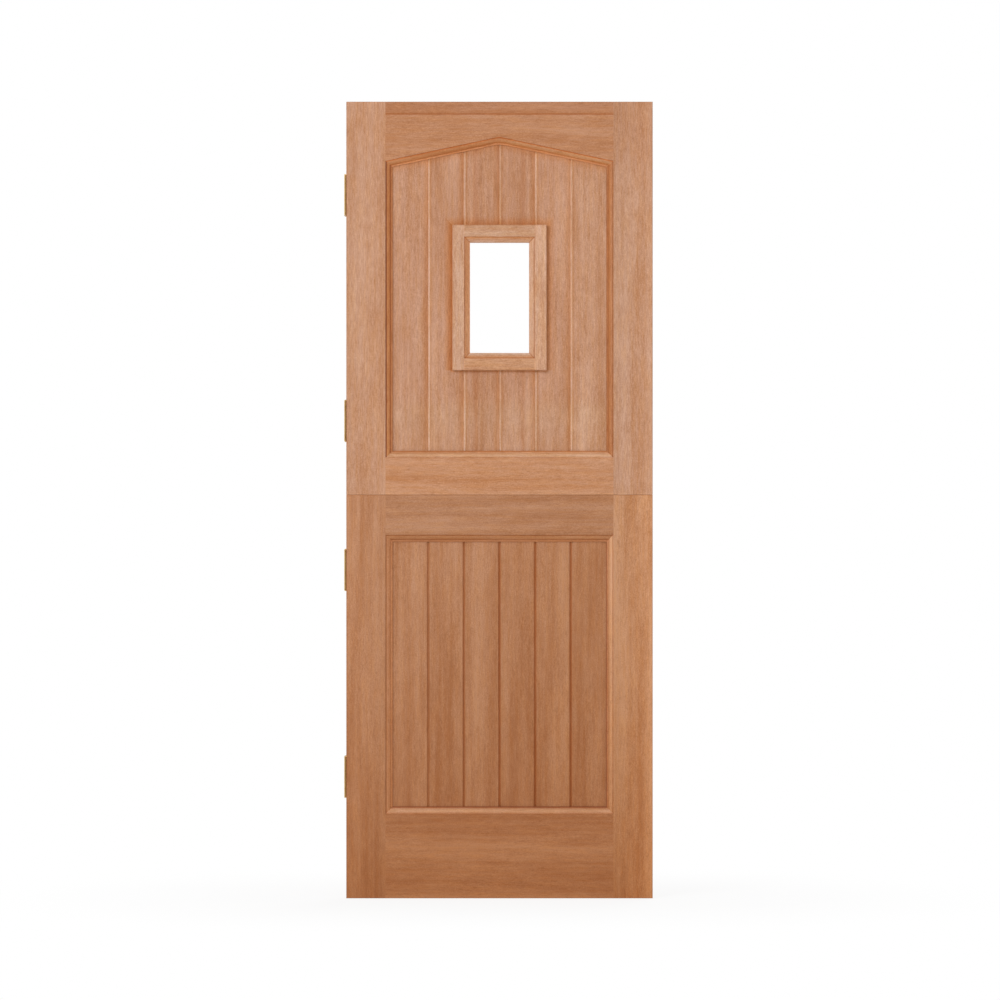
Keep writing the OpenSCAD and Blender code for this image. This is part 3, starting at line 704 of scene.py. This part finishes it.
def joint_distance(n):
    """Distance to the nearest of the five joints of two boards, below zero to the left of it."""
    cell = n.math("DIVIDE", n.x, BOARD_PITCH)
    nearest = n.math("MINIMUM", n.math("MAXIMUM", n.math("ROUND", cell), -2.0), 2.0)
    return n.math("MULTIPLY", n.math("SUBTRACT", cell, nearest), BOARD_PITCH)


def board_number(n):
    """Number of a board, counted from the middle of the panel and below zero on the left."""
    return n.math("FLOOR", n.math("DIVIDE", n.x, BOARD_PITCH))


def side_number(n):
    """1 for a piece on the right, 0 on the left."""
    return n.math("GREATER_THAN", n.x, 0.0)


def top_number(n):
    """1 for a piece above the middle of the light, 0 below it."""
    return n.math("GREATER_THAN", n.z, LIGHT_MID)


def upper_joint_light_and_shade(n, wood):
    """Vee joints with a painted highlight on the right wall, painted light on the left wall, and painted
    shade in warmer bands on both sides.
    """
    joint = joint_distance(n)
    left = n.both(n.span(joint, -0.0200, -0.0045), n.span(joint, -0.0042, -0.0036, 1.0, 0.0))
    wood = tint(n, wood, left, JOINT_LEFT_SHADE)
    wall = n.both(n.span(joint, -0.0042, -0.0036), n.span(joint, -0.0006, 0.0, 1.0, 0.0))
    wood = tint(n, wood, wall, JOINT_WALL_LIGHT)
    beside = n.both(n.span(joint, 0.0034, 0.0044), n.span(joint, 0.0050, 0.0130, 1.0, 0.0))
    wood = tint(n, wood, beside, JOINT_RIGHT_SHADE)
    # Painted highlight on the groove's right wall
    pale = n.span(n.math("ABSOLUTE", n.math("SUBTRACT", joint, 0.0014)), 0.0018, 0.0032, 1.0, 0.0)
    pale = n.both(pale, n.span(n.y, -0.004, 0.004, 1.0, 0.25))
    return tint(n, wood, pale, JOINT_HIGHLIGHT)


def light_frame_painted_shade(n):
    """Share of the painted shade round the light's frame, narrower below it, and the share on its left
    side.
    """
    aside = n.math("SUBTRACT", n.math("ABSOLUTE", n.x), LIGHT_HALF_W)
    upright = n.math("SUBTRACT", n.math("ABSOLUTE", n.math("SUBTRACT", n.z, LIGHT_MID)), LIGHT_HALF_H)
    away = n.math("MAXIMUM", aside, upright)
    below = n.math("LESS_THAN", n.z, LIGHT_LOW[2])
    reach = n.math("MULTIPLY_ADD", below, -0.018, 0.026)
    painted_shade_round = n.span(n.math("DIVIDE", away, reach), 0.0, 1.0, 1.0, 0.0)
    beyond = n.math("GREATER_THAN", aside, upright)
    leftward = n.both(beyond, n.math("LESS_THAN", n.x, 0.0))
    return painted_shade_round, n.both(painted_shade_round, leftward)


def upper_board_marks(n, wood):
    """Painted light and shade at the joints of the upper panel, and painted shade round the light's frame
    and under the arch.

    The two middle boards each have one darker stripe. The foot of the panel has painted light that lifts
    the shade there, and the outer boards and the last board on the right are paler.
    """
    wood = upper_joint_light_and_shade(n, wood)
    painted_shade_round, painted_shade_left = light_frame_painted_shade(n)
    # Painted shade round the light's frame
    wood = tint(n, wood, painted_shade_round, LIGHT_FRAME_SHADE)
    under = n.math("SUBTRACT", arch_depth(n), MOULDING)
    # Painted shade on the boards under the arch's moulding
    wood = tint(n, wood, n.span(under, 0.0, 0.022, 0.9, 0.0), UNDER_ARCH_SHADE)
    wood = tint(n, wood, painted_shade_left, LIGHT_LEFT_SHADE)
    across = n.math("ABSOLUTE", n.x)
    ring = n.math("ABSOLUTE", n.math("SUBTRACT", across, STRIPE_PLACE))
    wood = tint(n, wood, n.span(ring, 0.0, 0.011, 1.0, 0.0), DARK_STRIPE)
    # Painted light that lifts the shade at the panel's foot
    foot = n.math("SUBTRACT", n.z, UPPER_LINE)
    foot_light = n.both(n.span(foot, 0.108, 0.160, 1.0, 0.0), n.span(foot, 0.045, 0.098, 0.55, 1.0))
    wood = tint(n, wood, foot_light, PANEL_FOOT_LIGHT)
    wood = tint(n, wood, n.span(n.x, 0.16, 0.22), LAST_BOARD)
    return tint(n, wood, n.span(across, 0.04, 0.24), OUTER_BOARDS)


def lower_board_marks(n, wood):
    """Dark vee joints, fainter on the left, warmer wood to the right and deeper wood to the foot."""
    joint = n.math("ABSOLUTE", joint_distance(n))
    dark = n.span(joint, 0.0016, 0.0044, 1.0, 0.0)
    wood = tint(n, wood, n.both(dark, n.span(n.x, -0.22, 0.05, 0.4, 1.0)), DARK_JOINT)
    wood = tint(n, wood, n.span(n.x, -0.10, 0.20), RIGHT_BOARDS)
    return foot_shade(n, wood)


def light_edge_highlight(name, mirrored):
    """Painted highlight along the eased edges of a frame member."""
    low, high = low_high(name)

    def marks(n, wood):
        return edge_tint(n, wood, low, high, EDGE_HIGHLIGHT, 0.0030, 0.7, mirrored)
    return marks


def bead_marks(upright):
    """Painted shade in the corner between a bead and the frame, and darker lines along the mitres.

    The left bead has warmer painted shade with a painted highlight inside, the cross beads have painted
    shade near the frame and a painted highlight inside, and the top bead's painted highlight is weaker than
    the bottom one's.
    """
    low = low_high("glazing_bead_left")[0]
    high = low_high("glazing_bead_right")[1]
    half_w = high[0]
    half_h = (high[2] - low[2]) / 2

    def marks(n, wood):
        drop = n.math("SUBTRACT", LIGHT_MID, n.z)
        beside = n.math("SUBTRACT", half_w, n.math("ABSOLUTE", n.x))
        above = n.math("SUBTRACT", half_h, n.math("ABSOLUTE", drop))
        corner = beside if upright else above
        left_or_top = n.math("LESS_THAN", n.x if upright else drop, 0.0)
        if upright:
            wood = tint(n, wood, left_or_top, LEFT_BEAD_SHADE)
            wood = tint(n, wood, n.both(left_or_top, n.span(corner, 0.0080, 0.0130)), LEFT_BEAD_HIGHLIGHT)
        else:
            wood = tint(n, wood, n.span(corner, 0.0030, 0.0100, 1.0, 0.0), CROSS_BEAD_SHADE)
            strength = n.math("MULTIPLY_ADD", left_or_top, -0.45, 1.0)
            wood = tint(n, wood, n.both(strength, n.span(corner, 0.0065, 0.0110)), CROSS_BEAD_HIGHLIGHT)
        wood = tint(n, wood, n.span(corner, 0.0010, 0.0042, 1.0, 0.0), BEAD_CORNER_SHADE)
        mitre = n.math("ABSOLUTE", n.math("SUBTRACT", beside, above))
        return tint(n, wood, n.span(mitre, 0.0010, 0.0026, 1.0, 0.0), BEAD_MITRE)
    return marks


def scaled(colours, share):
    """A pair of colours, both changed by one share, or by a share for each of red, green and blue."""
    return [tuple((np.array(colour) * share).tolist()) for colour in colours]


def dress(names, material):
    """Gives each node one material."""
    for name in names:
        node = frame["nodes"][name]
        node.data.materials.clear()
        node.data.materials.append(material)


class DOOR_OT_stiles(bpy.types.Operator):
    """Puts upright timber on the four stiles"""
    bl_idname = "door.stiles"
    bl_label = "Stiles"

    def execute(self, context):
        c = context.scene.door_colours
        upper = (c.stile_pale, c.stile_deep)
        lower = (c.lower_pale, c.lower_deep)
        # finish is the painted light and shade of each stile's moulding
        for name, wood, share, seed, finish, face in (
                ("upper_hanging_stile", upper, 0.97, 3.0, UPPER_LEFT, (1.03, 1.00, 0.35)),
                ("upper_closing_stile", upper, 0.97, 5.0, UPPER_RIGHT, (0.94, 1.09, 1.0)),
                ("lower_hanging_stile", lower, 1.00, 11.0, LOWER_LEFT, (0.97, 1.06, 0.0)),
                ("lower_closing_stile", lower, (1.17, 1.21, 1.21), 13.0, LOWER_RIGHT, (0.90, 1.09, 0.0))):
            marks = stile_marks(name, finish, face, wood is lower)
            fine = 0.6 if wood is lower else 1.0
            dress([name], timber(name + "_timber", scaled(wood, share), seed=seed, marks=marks, fine=fine))
        return {"FINISHED"}


class DOOR_OT_rails(bpy.types.Operator):
    """Puts lengthwise timber on the rails and the head strip"""
    bl_idname = "door.rails"
    bl_label = "Rails"

    def execute(self, context):
        c = context.scene.door_colours
        upper = (c.rail_pale, c.rail_deep)
        lower = (c.lower_pale, c.lower_deep)
        # The moulding tables in the rails' marks are painted light and shade
        for name, wood, share, seed, marks in (
                ("upper_head_strip", upper, (0.84, 0.79, 0.77), 21.0, strip_marks),
                ("upper_arched_top_rail", upper, (0.90, 0.88, 0.86), 25.0, arch_marks),
                ("upper_meeting_rail", upper, (1.01, 1.03, 1.04), 29.0,
                 rail_marks("upper_meeting_rail", UPPER_FOOT, UPPER_LINE, True)),
                ("lower_meeting_rail", lower, 0.93, 31.0,
                 rail_marks("lower_meeting_rail", LOWER_TOP, LOWER_LINE, False)),
                ("lower_bottom_rail", lower, 1.02, 37.0,
                 rail_marks("lower_bottom_rail", LOWER_FOOT, FOOT_LINE, True, True))):
            fine = 0.5 if wood is lower else 0.75
            dress([name], timber(name + "_timber", scaled(wood, share), along="x", seed=seed, sway=0.009,
                                 marks=marks, fine=fine))
        return {"FINISHED"}


class DOOR_OT_boards(bpy.types.Operator):
    """Puts upright timber on the tongued boards of both panels"""
    bl_idname = "door.boards"
    bl_label = "Boards"

    def execute(self, context):
        c = context.scene.door_colours
        upper = (c.board_pale, c.board_deep)
        lower = scaled((c.lower_pale, c.lower_deep), 0.965)
        dress(UPPER_BOARDS, timber("upper_board_timber", upper, number=board_number, seed=41.0, sway=0.005,
                                   spread=0.012, marks=upper_board_marks, fine=0.8))
        dress(LOWER_BOARDS, timber("lower_board_timber", lower, number=board_number, seed=53.0, sway=0.005,
                                   uneven=-0.010, marks=lower_board_marks, fine=0.6))
        return {"FINISHED"}


class DOOR_OT_light(bpy.types.Operator):
    """Puts timber on the frame and the beads round the light"""
    bl_idname = "door.light"
    bl_label = "Light"

    def execute(self, context):
        c = context.scene.door_colours
        wood = (c.light_pale, c.light_deep)
        cross = scaled(wood, (0.93, 0.92, 0.88))
        # The front members of the frame carry a painted highlight along their edges
        dress(["light_frame_front_left", "light_frame_front_right"],
              timber("light_upright_timber", scaled(wood, 0.97), number=side_number, seed=61.0, sway=0.006,
                     uneven=0.07, marks=light_edge_highlight("light_frame_front_right", True)))
        dress(["light_frame_front_head"],
              timber("light_head_timber", cross, along="x", seed=67.0, sway=0.006,
                     marks=light_edge_highlight("light_frame_front_head", False)))
        dress(["light_frame_front_sill"],
              timber("light_sill_timber", scaled(wood, (0.91, 0.81, 0.67)), along="x", seed=71.0,
                     sway=0.006, marks=light_edge_highlight("light_frame_front_sill", False)))
        dress(["light_frame_back_left", "light_frame_back_right"],
              timber("back_upright_timber", wood, number=side_number, seed=73.0, sway=0.006, spread=0.03))
        dress(["light_frame_back_head", "light_frame_back_sill"],
              timber("back_cross_timber", cross, along="x", number=top_number, seed=79.0, sway=0.006,
                     spread=0.03))
        # The beads carry painted light and shade
        dress(["glazing_bead_left", "glazing_bead_right"],
              timber("bead_upright_timber", wood, number=side_number, seed=83.0, spread=0.02,
                     marks=bead_marks(True)))
        dress(["glazing_bead_top", "glazing_bead_bottom"],
              timber("bead_cross_timber", wood, along="x", number=top_number, seed=89.0, spread=0.02,
                     marks=bead_marks(False)))
        return {"FINISHED"}


class DOOR_OT_wedges(bpy.types.Operator):
    """Puts paler timber on the tenon wedges"""
    bl_idname = "door.wedges"
    bl_label = "Wedges"

    def execute(self, context):
        c = context.scene.door_colours
        wood = scaled((c.light_pale, c.light_deep), (1.06, 1.01, 0.90))
        dress(["upper_tenon_wedges", "lower_tenon_wedges"],
              timber("wedge_timber", wood, along="x", seed=97.0, sway=0.003))
        return {"FINISHED"}


def turned_surface(radius, axial, middles, axis):
    """A closed turned shape, repeated at each of the middles.

    radius and axial are grids of rings by angles in metres. A point stands at its
    axial distance along the axis and at its radius round it, at the angle of its
    column. The first and the last ring close on one point on the axis each.
    """
    rings, angles = radius.shape
    turn = np.linspace(0.0, 2.0 * np.pi, angles, endpoint=False)[None, :]
    flat = np.stack([axial, radius * np.cos(turn), radius * np.sin(turn)], axis=-1).reshape(-1, 3)
    ends = np.array([[axial[0].mean(), 0.0, 0.0], [axial[-1].mean(), 0.0, 0.0]])
    shape = np.vstack([flat, ends])
    shape = shape if axis == "x" else shape[:, [1, 2, 0]]
    points = (np.asarray(middles)[:, None, :] + shape[None, :, :]).reshape(-1, 3)

    column = np.arange(angles)
    after = (column + 1) % angles
    row = np.arange(rings - 1)[:, None] * angles
    corners = [row + column, row + after, row + angles + after, row + angles + column]
    sides = np.stack(corners, axis=-1).reshape(-1, 4)
    last = (rings - 1) * angles
    first_cap = np.stack([np.full(angles, rings * angles), after, column], axis=-1)
    last_cap = np.stack([np.full(angles, rings * angles + 1), last + column, last + after], axis=-1)
    step = np.arange(len(middles))[:, None, None] * len(shape)
    quads = (sides[None] + step).reshape(-1, 4)
    fans = (np.vstack([first_cap, last_cap])[None] + step).reshape(-1, 3)
    return points, quads.tolist() + fans.tolist()


def screw_shape(sizes):
    """Rings of a countersunk wood screw, from the face of its head at 0 to its point.

    The face sinks in a cross: the depth is full where the smaller of the two
    distances from the cross's arms is under half an arm, and fades to zero past it.
    The thread's radius is the core plus a ridge that follows the distance along
    the screw less one pitch for each turn. The point narrows to a tip.
    """
    turn = np.linspace(0.0, 2.0 * np.pi, SCREW_COLUMNS, endpoint=False)[None, :]
    reach = np.linspace(FACE_MARGIN, SCREW_HEAD - FACE_MARGIN, FACE_RINGS)[:, None]
    side, up = np.abs(reach * np.cos(turn)), np.abs(reach * np.sin(turn))
    near, far = np.minimum(side, up), np.maximum(side, up)
    arm = np.clip((CROSS_ARM - near) / CROSS_ARM_FADE, 0.0, 1.0)
    end = np.clip((CROSS_REACH - far) / CROSS_REACH_FADE, 0.0, 1.0)
    face_axial = sizes.recess_depth * arm * end
    face_radius = np.broadcast_to(reach, face_axial.shape)

    shank = SCREW_SHANK - SCREW_EASE
    cone = np.array([
        [SCREW_EASE, SCREW_HEAD],
        [SCREW_SINK, SCREW_NECK],
        [SCREW_SINK + NECK_RUN, shank],
        [THREAD_START - RING_STEP, shank],
    ])
    cone_axial = np.broadcast_to(cone[:, :1], (len(cone), turn.size))
    cone_radius = np.broadcast_to(cone[:, 1:], (len(cone), turn.size))

    along = np.linspace(THREAD_START, SCREW_LENGTH - RING_STEP, THREAD_RINGS)[:, None]
    phase = np.mod(along / sizes.thread_pitch - turn / (2.0 * np.pi), 1.0)
    ridge = np.clip(1.0 - np.abs(phase - 0.5) / RIDGE_SHARE, 0.0, 1.0)
    grow = np.clip((along - THREAD_START) / THREAD_RUN, 0.0, 1.0)
    taper = np.clip((SCREW_LENGTH - along) / POINT_LENGTH, 0.0, 1.0) ** 0.8
    core = shank - THREAD_DEPTH * grow
    thread_radius = np.maximum((core + THREAD_DEPTH * grow * ridge) * taper, TIP_RADIUS)
    thread_axial = np.broadcast_to(along, thread_radius.shape)
    return (np.vstack([face_radius, cone_radius, thread_radius]),
            np.vstack([face_axial, cone_axial, thread_axial]))


def pin_shape(half, shank, head, cap):
    """Rings of a hinge pin about its middle.

    A straight shank runs between two buttons whose rims round off as a quarter ellipse.
    """
    bend = np.linspace(0.06, np.pi / 2, BUTTON_RINGS)
    dome = np.stack([half + cap * (0.25 + 0.75 * np.cos(bend)), head * np.sin(bend)], axis=-1)
    edge = np.array([[half, head], [half, shank]])
    upper = np.vstack([dome, edge])
    lower = upper[::-1] * np.array([-1.0, 1.0])
    rings = np.vstack([lower[::-1], upper[::-1]])
    columns = np.ones((1, PIN_COLUMNS))
    return rings[:, 1:] * columns, rings[:, :1] * columns


def add_piece(name, points, faces, material, stands_for):
    """Makes a mesh object from points and faces.

    It takes the place of one node and moves as that node does.
    """
    mesh = bpy.data.meshes.new(name)
    mesh.from_pydata(points.tolist(), [], faces)
    mesh.shade_smooth()
    mesh.set_sharp_from_angle(angle=0.7)
    mesh.update()
    mesh.materials.append(material)
    piece = bpy.data.objects.new(name, mesh)
    bpy.context.scene.collection.objects.link(piece)
    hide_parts(stands_for)
    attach(piece, frame["nodes"][stands_for]["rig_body"])
    return piece


class DOOR_OT_hinges(bpy.types.Operator):
    """Puts satin brass on the hinge plates, and makes the pins and the screws"""
    bl_idname = "door.hinges"
    bl_label = "Hinges"

    def execute(self, context):
        c = context.scene.door_colours
        sizes = context.scene.door_sizes
        plates = [h + "_hinge_leaf_plate" for h in HINGES] + [h + "_hinge_frame_plate" for h in HINGES]
        dress(plates, brass("hinge_plate_brass", c.brass, "z", 0.34))
        self.make_pins(brass("hinge_pin_brass", c.brass, "z", 0.24))
        self.make_screws(sizes, brass("screw_brass", c.brass, "x", 0.3))
        return {"FINISHED"}

    def make_pins(self, material):
        """One turned pin for each hinge, as long and as wide as the plain pin."""
        for hinge in HINGES:
            low, high = low_high(hinge + "_hinge_pin")
            plate = low_high(hinge + "_hinge_frame_plate")
            half = (plate[1][2] - plate[0][2]) / 2 + PIN_PLAY
            cap = (high[2] - low[2]) / 2 - half
            middle = [(a + b) / 2 for a, b in zip(low, high)]
            radius, axial = pin_shape(half, PIN_SHANK, (high[0] - low[0]) / 2, cap)
            points, faces = turned_surface(radius, axial, [middle], "z")
            add_piece(hinge + "_turned_pin", points, faces, material, hinge + "_hinge_pin")

    def make_screws(self, sizes, material):
        """The screws of each leaf in one piece, four for each leaf plate."""
        radius, axial = screw_shape(sizes)
        for leaf in ("upper", "lower"):
            low, high = low_high(leaf + "_hinge_screws")
            heads = [low_high(h + "_hinge_leaf_plate") for h in HINGES if h.startswith(leaf)]
            rows = [(a[2] + b[2]) / 2 for a, b in heads]
            drop = (high[2] - low[2] - abs(rows[0] - rows[1])) / 2 - SCREW_HEAD
            columns = (low[1] + SCREW_HEAD, high[1] - SCREW_HEAD)
            middles = [(low[0], y, z + turn * drop) for z in rows for turn in (-1, 1) for y in columns]
            points, faces = turned_surface(radius, axial, middles, "x")
            add_piece(leaf + "_threaded_screws", points, faces, material, leaf + "_hinge_screws")


class DOOR_OT_stage(bpy.types.Operator):
    """Makes the surroundings, the floor, the lamps and the camera"""
    bl_idname = "door.stage"
    bl_label = "Stage"

    def execute(self, context):
        sizes = context.scene.door_sizes
        self.make_world(context)
        self.make_floor(sizes)
        self.make_lamps(context)
        self.make_camera(context, sizes)
        context.scene.view_settings.view_transform = "Standard"
        return {"FINISHED"}

    def make_world(self, context):
        """White where it is looked at, in a mirror or through glass, and a softer level as light."""
        world = bpy.data.worlds.new("studio")
        context.scene.world = world
        world.use_nodes = True
        nodes, links = world.node_tree.nodes, world.node_tree.links
        nodes.clear()
        path = nodes.new("ShaderNodeLightPath")
        seen = nodes.new("ShaderNodeMath")
        seen.operation = "MAXIMUM"
        links.new(path.outputs["Is Camera Ray"], seen.inputs[0])
        links.new(path.outputs["Is Glossy Ray"], seen.inputs[1])
        through = nodes.new("ShaderNodeMath")
        through.operation = "MAXIMUM"
        links.new(seen.outputs[0], through.inputs[0])
        links.new(path.outputs["Is Transmission Ray"], through.inputs[1])
        soft = nodes.new("ShaderNodeBackground")
        soft.inputs["Color"].default_value = (1.0, 1.0, 1.0, 1.0)
        soft.inputs["Strength"].default_value = ROUND_LIGHT
        white = nodes.new("ShaderNodeBackground")
        white.inputs["Color"].default_value = (1.0, 1.0, 1.0, 1.0)
        white.inputs["Strength"].default_value = 1.0
        mix = nodes.new("ShaderNodeMixShader")
        links.new(through.outputs[0], mix.inputs[0])
        links.new(soft.outputs[0], mix.inputs[1])
        links.new(white.outputs[0], mix.inputs[2])
        out = nodes.new("ShaderNodeOutputWorld")
        links.new(mix.outputs[0], out.inputs["Surface"])

    def make_floor(self, sizes):
        """A square grid just under the door, white, with the door's shadow kept near its foot."""
        steps = np.linspace(-sizes.floor_half, sizes.floor_half, FLOOR_LINES)
        across, deep = np.meshgrid(steps, steps, indexing="ij")
        points = np.stack([across, deep, np.full_like(across, -FLOOR_DROP)], axis=-1).reshape(-1, 3)
        cells = np.arange(FLOOR_LINES - 1)
        first = (cells[:, None] * FLOOR_LINES + cells[None, :]).ravel()
        faces = np.stack([first, first + FLOOR_LINES, first + FLOOR_LINES + 1, first + 1], axis=-1)
        mesh = bpy.data.meshes.new("floor")
        mesh.from_pydata(points.tolist(), [], faces.tolist())
        mesh.update()
        floor = bpy.data.objects.new("floor", mesh)
        bpy.context.scene.collection.objects.link(floor)
        n = Finish("floor_white")
        grain = n.noise(n.place, 3.0, 3.0, 3.0).outputs["Fac"]
        pale = n.span(grain, 0.3, 0.7, 0.88, 0.92)
        n.put(n.grey(pale), n.shader.inputs["Base Color"])
        n.shader.inputs["Roughness"].default_value = 0.9
        n.shader.inputs["Specular IOR Level"].default_value = 0.0
        path = n.add("ShaderNodeLightPath")
        seen = n.math("MAXIMUM", path.outputs["Is Camera Ray"], path.outputs["Is Glossy Ray"])
        seen = n.math("MAXIMUM", seen, path.outputs["Is Transmission Ray"])
        beside = n.math("MAXIMUM", n.math("SUBTRACT", n.math("ABSOLUTE", n.x), DOOR_HALF), 0.0)
        away = n.math("POWER", n.math("ADD", n.math("POWER", beside, 2.0), n.math("POWER", n.y, 2.0)), 0.5)
        plain = n.span(away, 0.0, 1.0, 0.86, 1.0)
        white = n.add("ShaderNodeEmission")
        white.inputs["Strength"].default_value = 1.0
        mix = n.add("ShaderNodeMixShader")
        n.put(n.math("MULTIPLY", seen, plain), mix.inputs[0])
        n.put(n.shader.outputs[0], mix.inputs[1])
        n.put(white.outputs[0], mix.inputs[2])
        n.put(mix.outputs[0], n.tree.nodes["Material Output"].inputs["Surface"])
        mesh.materials.append(n.material)

    def make_lamps(self, context):
        """Three large soft lamps: the main one above on the left, a weak one right, and one behind."""
        middle = Vector((0.0, 0.0, DOOR_TOP / 2))
        for name, place, side, power in (
                ("key_lamp", (-4.0, -6.6, 4.0), 3.6, 300.0),
                ("fill_lamp", (4.6, -6.0, 1.8), 3.6, 42.0),
                ("back_lamp", (1.6, 4.6, 3.4), 3.0, 110.0)):
            data = bpy.data.lights.new(name, "AREA")
            data.shape = "SQUARE"
            data.size = side
            data.energy = power
            lamp = bpy.data.objects.new(name, data)
            lamp.location = place
            lamp.rotation_mode = "QUATERNION"
            lamp.rotation_quaternion = (middle - Vector(place)).to_track_quat("-Z", "Y")
            context.scene.collection.objects.link(lamp)

    def make_camera(self, context, sizes):
        """Straight on at mid height, half a pixel to the right.

        The lens is the one that gives picture_scale pixels for a metre at the front of the door.
        """
        data = bpy.data.cameras.new("camera")
        data.sensor_fit = "HORIZONTAL"
        data.sensor_width = SENSOR_WIDTH
        data.lens = SENSOR_WIDTH * sizes.picture_scale * sizes.camera_distance / PICTURE_WIDTH
        data.dof.use_dof = False
        data.clip_end = 200.0
        camera = bpy.data.objects.new("camera", data)
        scale = 1.0 / sizes.picture_scale
        camera.location = (0.5 * scale, FRONT - sizes.camera_distance, DOOR_TOP / 2)
        camera.rotation_euler = (np.pi / 2, 0.0, 0.0)
        context.scene.collection.objects.link(camera)
        context.scene.camera = camera


class DOOR_PT_sidebar(bpy.types.Panel):
    """Lists the door's finishes and sizes"""
    bl_idname = "DOOR_PT_sidebar"
    bl_label = "Stable door"
    bl_space_type = "VIEW_3D"
    bl_region_type = "UI"
    bl_category = "Stable door"

    def draw(self, context):
        layout = self.layout
        for group in (context.scene.door_colours, context.scene.door_sizes):
            box = layout.box()
            for key in group.__annotations__:
                box.prop(group, key)
        for step in STEPS:
            layout.operator(step.bl_idname)


STEPS = (
    DOOR_OT_stage,
    DOOR_OT_stiles,
    DOOR_OT_rails,
    DOOR_OT_boards,
    DOOR_OT_light,
    DOOR_OT_wedges,
    DOOR_OT_hinges,
)
CLASSES = (DoorColours, DoorSizes) + STEPS + (DOOR_PT_sidebar,)


def register():
    for kind in CLASSES:
        bpy.utils.register_class(kind)
    bpy.types.Scene.door_colours = bpy.props.PointerProperty(type=DoorColours)
    bpy.types.Scene.door_sizes = bpy.props.PointerProperty(type=DoorSizes)


def unregister():
    del bpy.types.Scene.door_sizes
    del bpy.types.Scene.door_colours
    for kind in reversed(CLASSES):
        bpy.utils.unregister_class(kind)


def main():
    """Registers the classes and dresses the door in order."""
    register()
    bpy.ops.door.stage()
    bpy.ops.door.stiles()
    bpy.ops.door.rails()
    bpy.ops.door.boards()
    bpy.ops.door.light()
    bpy.ops.door.wedges()
    bpy.ops.door.hinges()


if __name__ == "__main__":
    main()
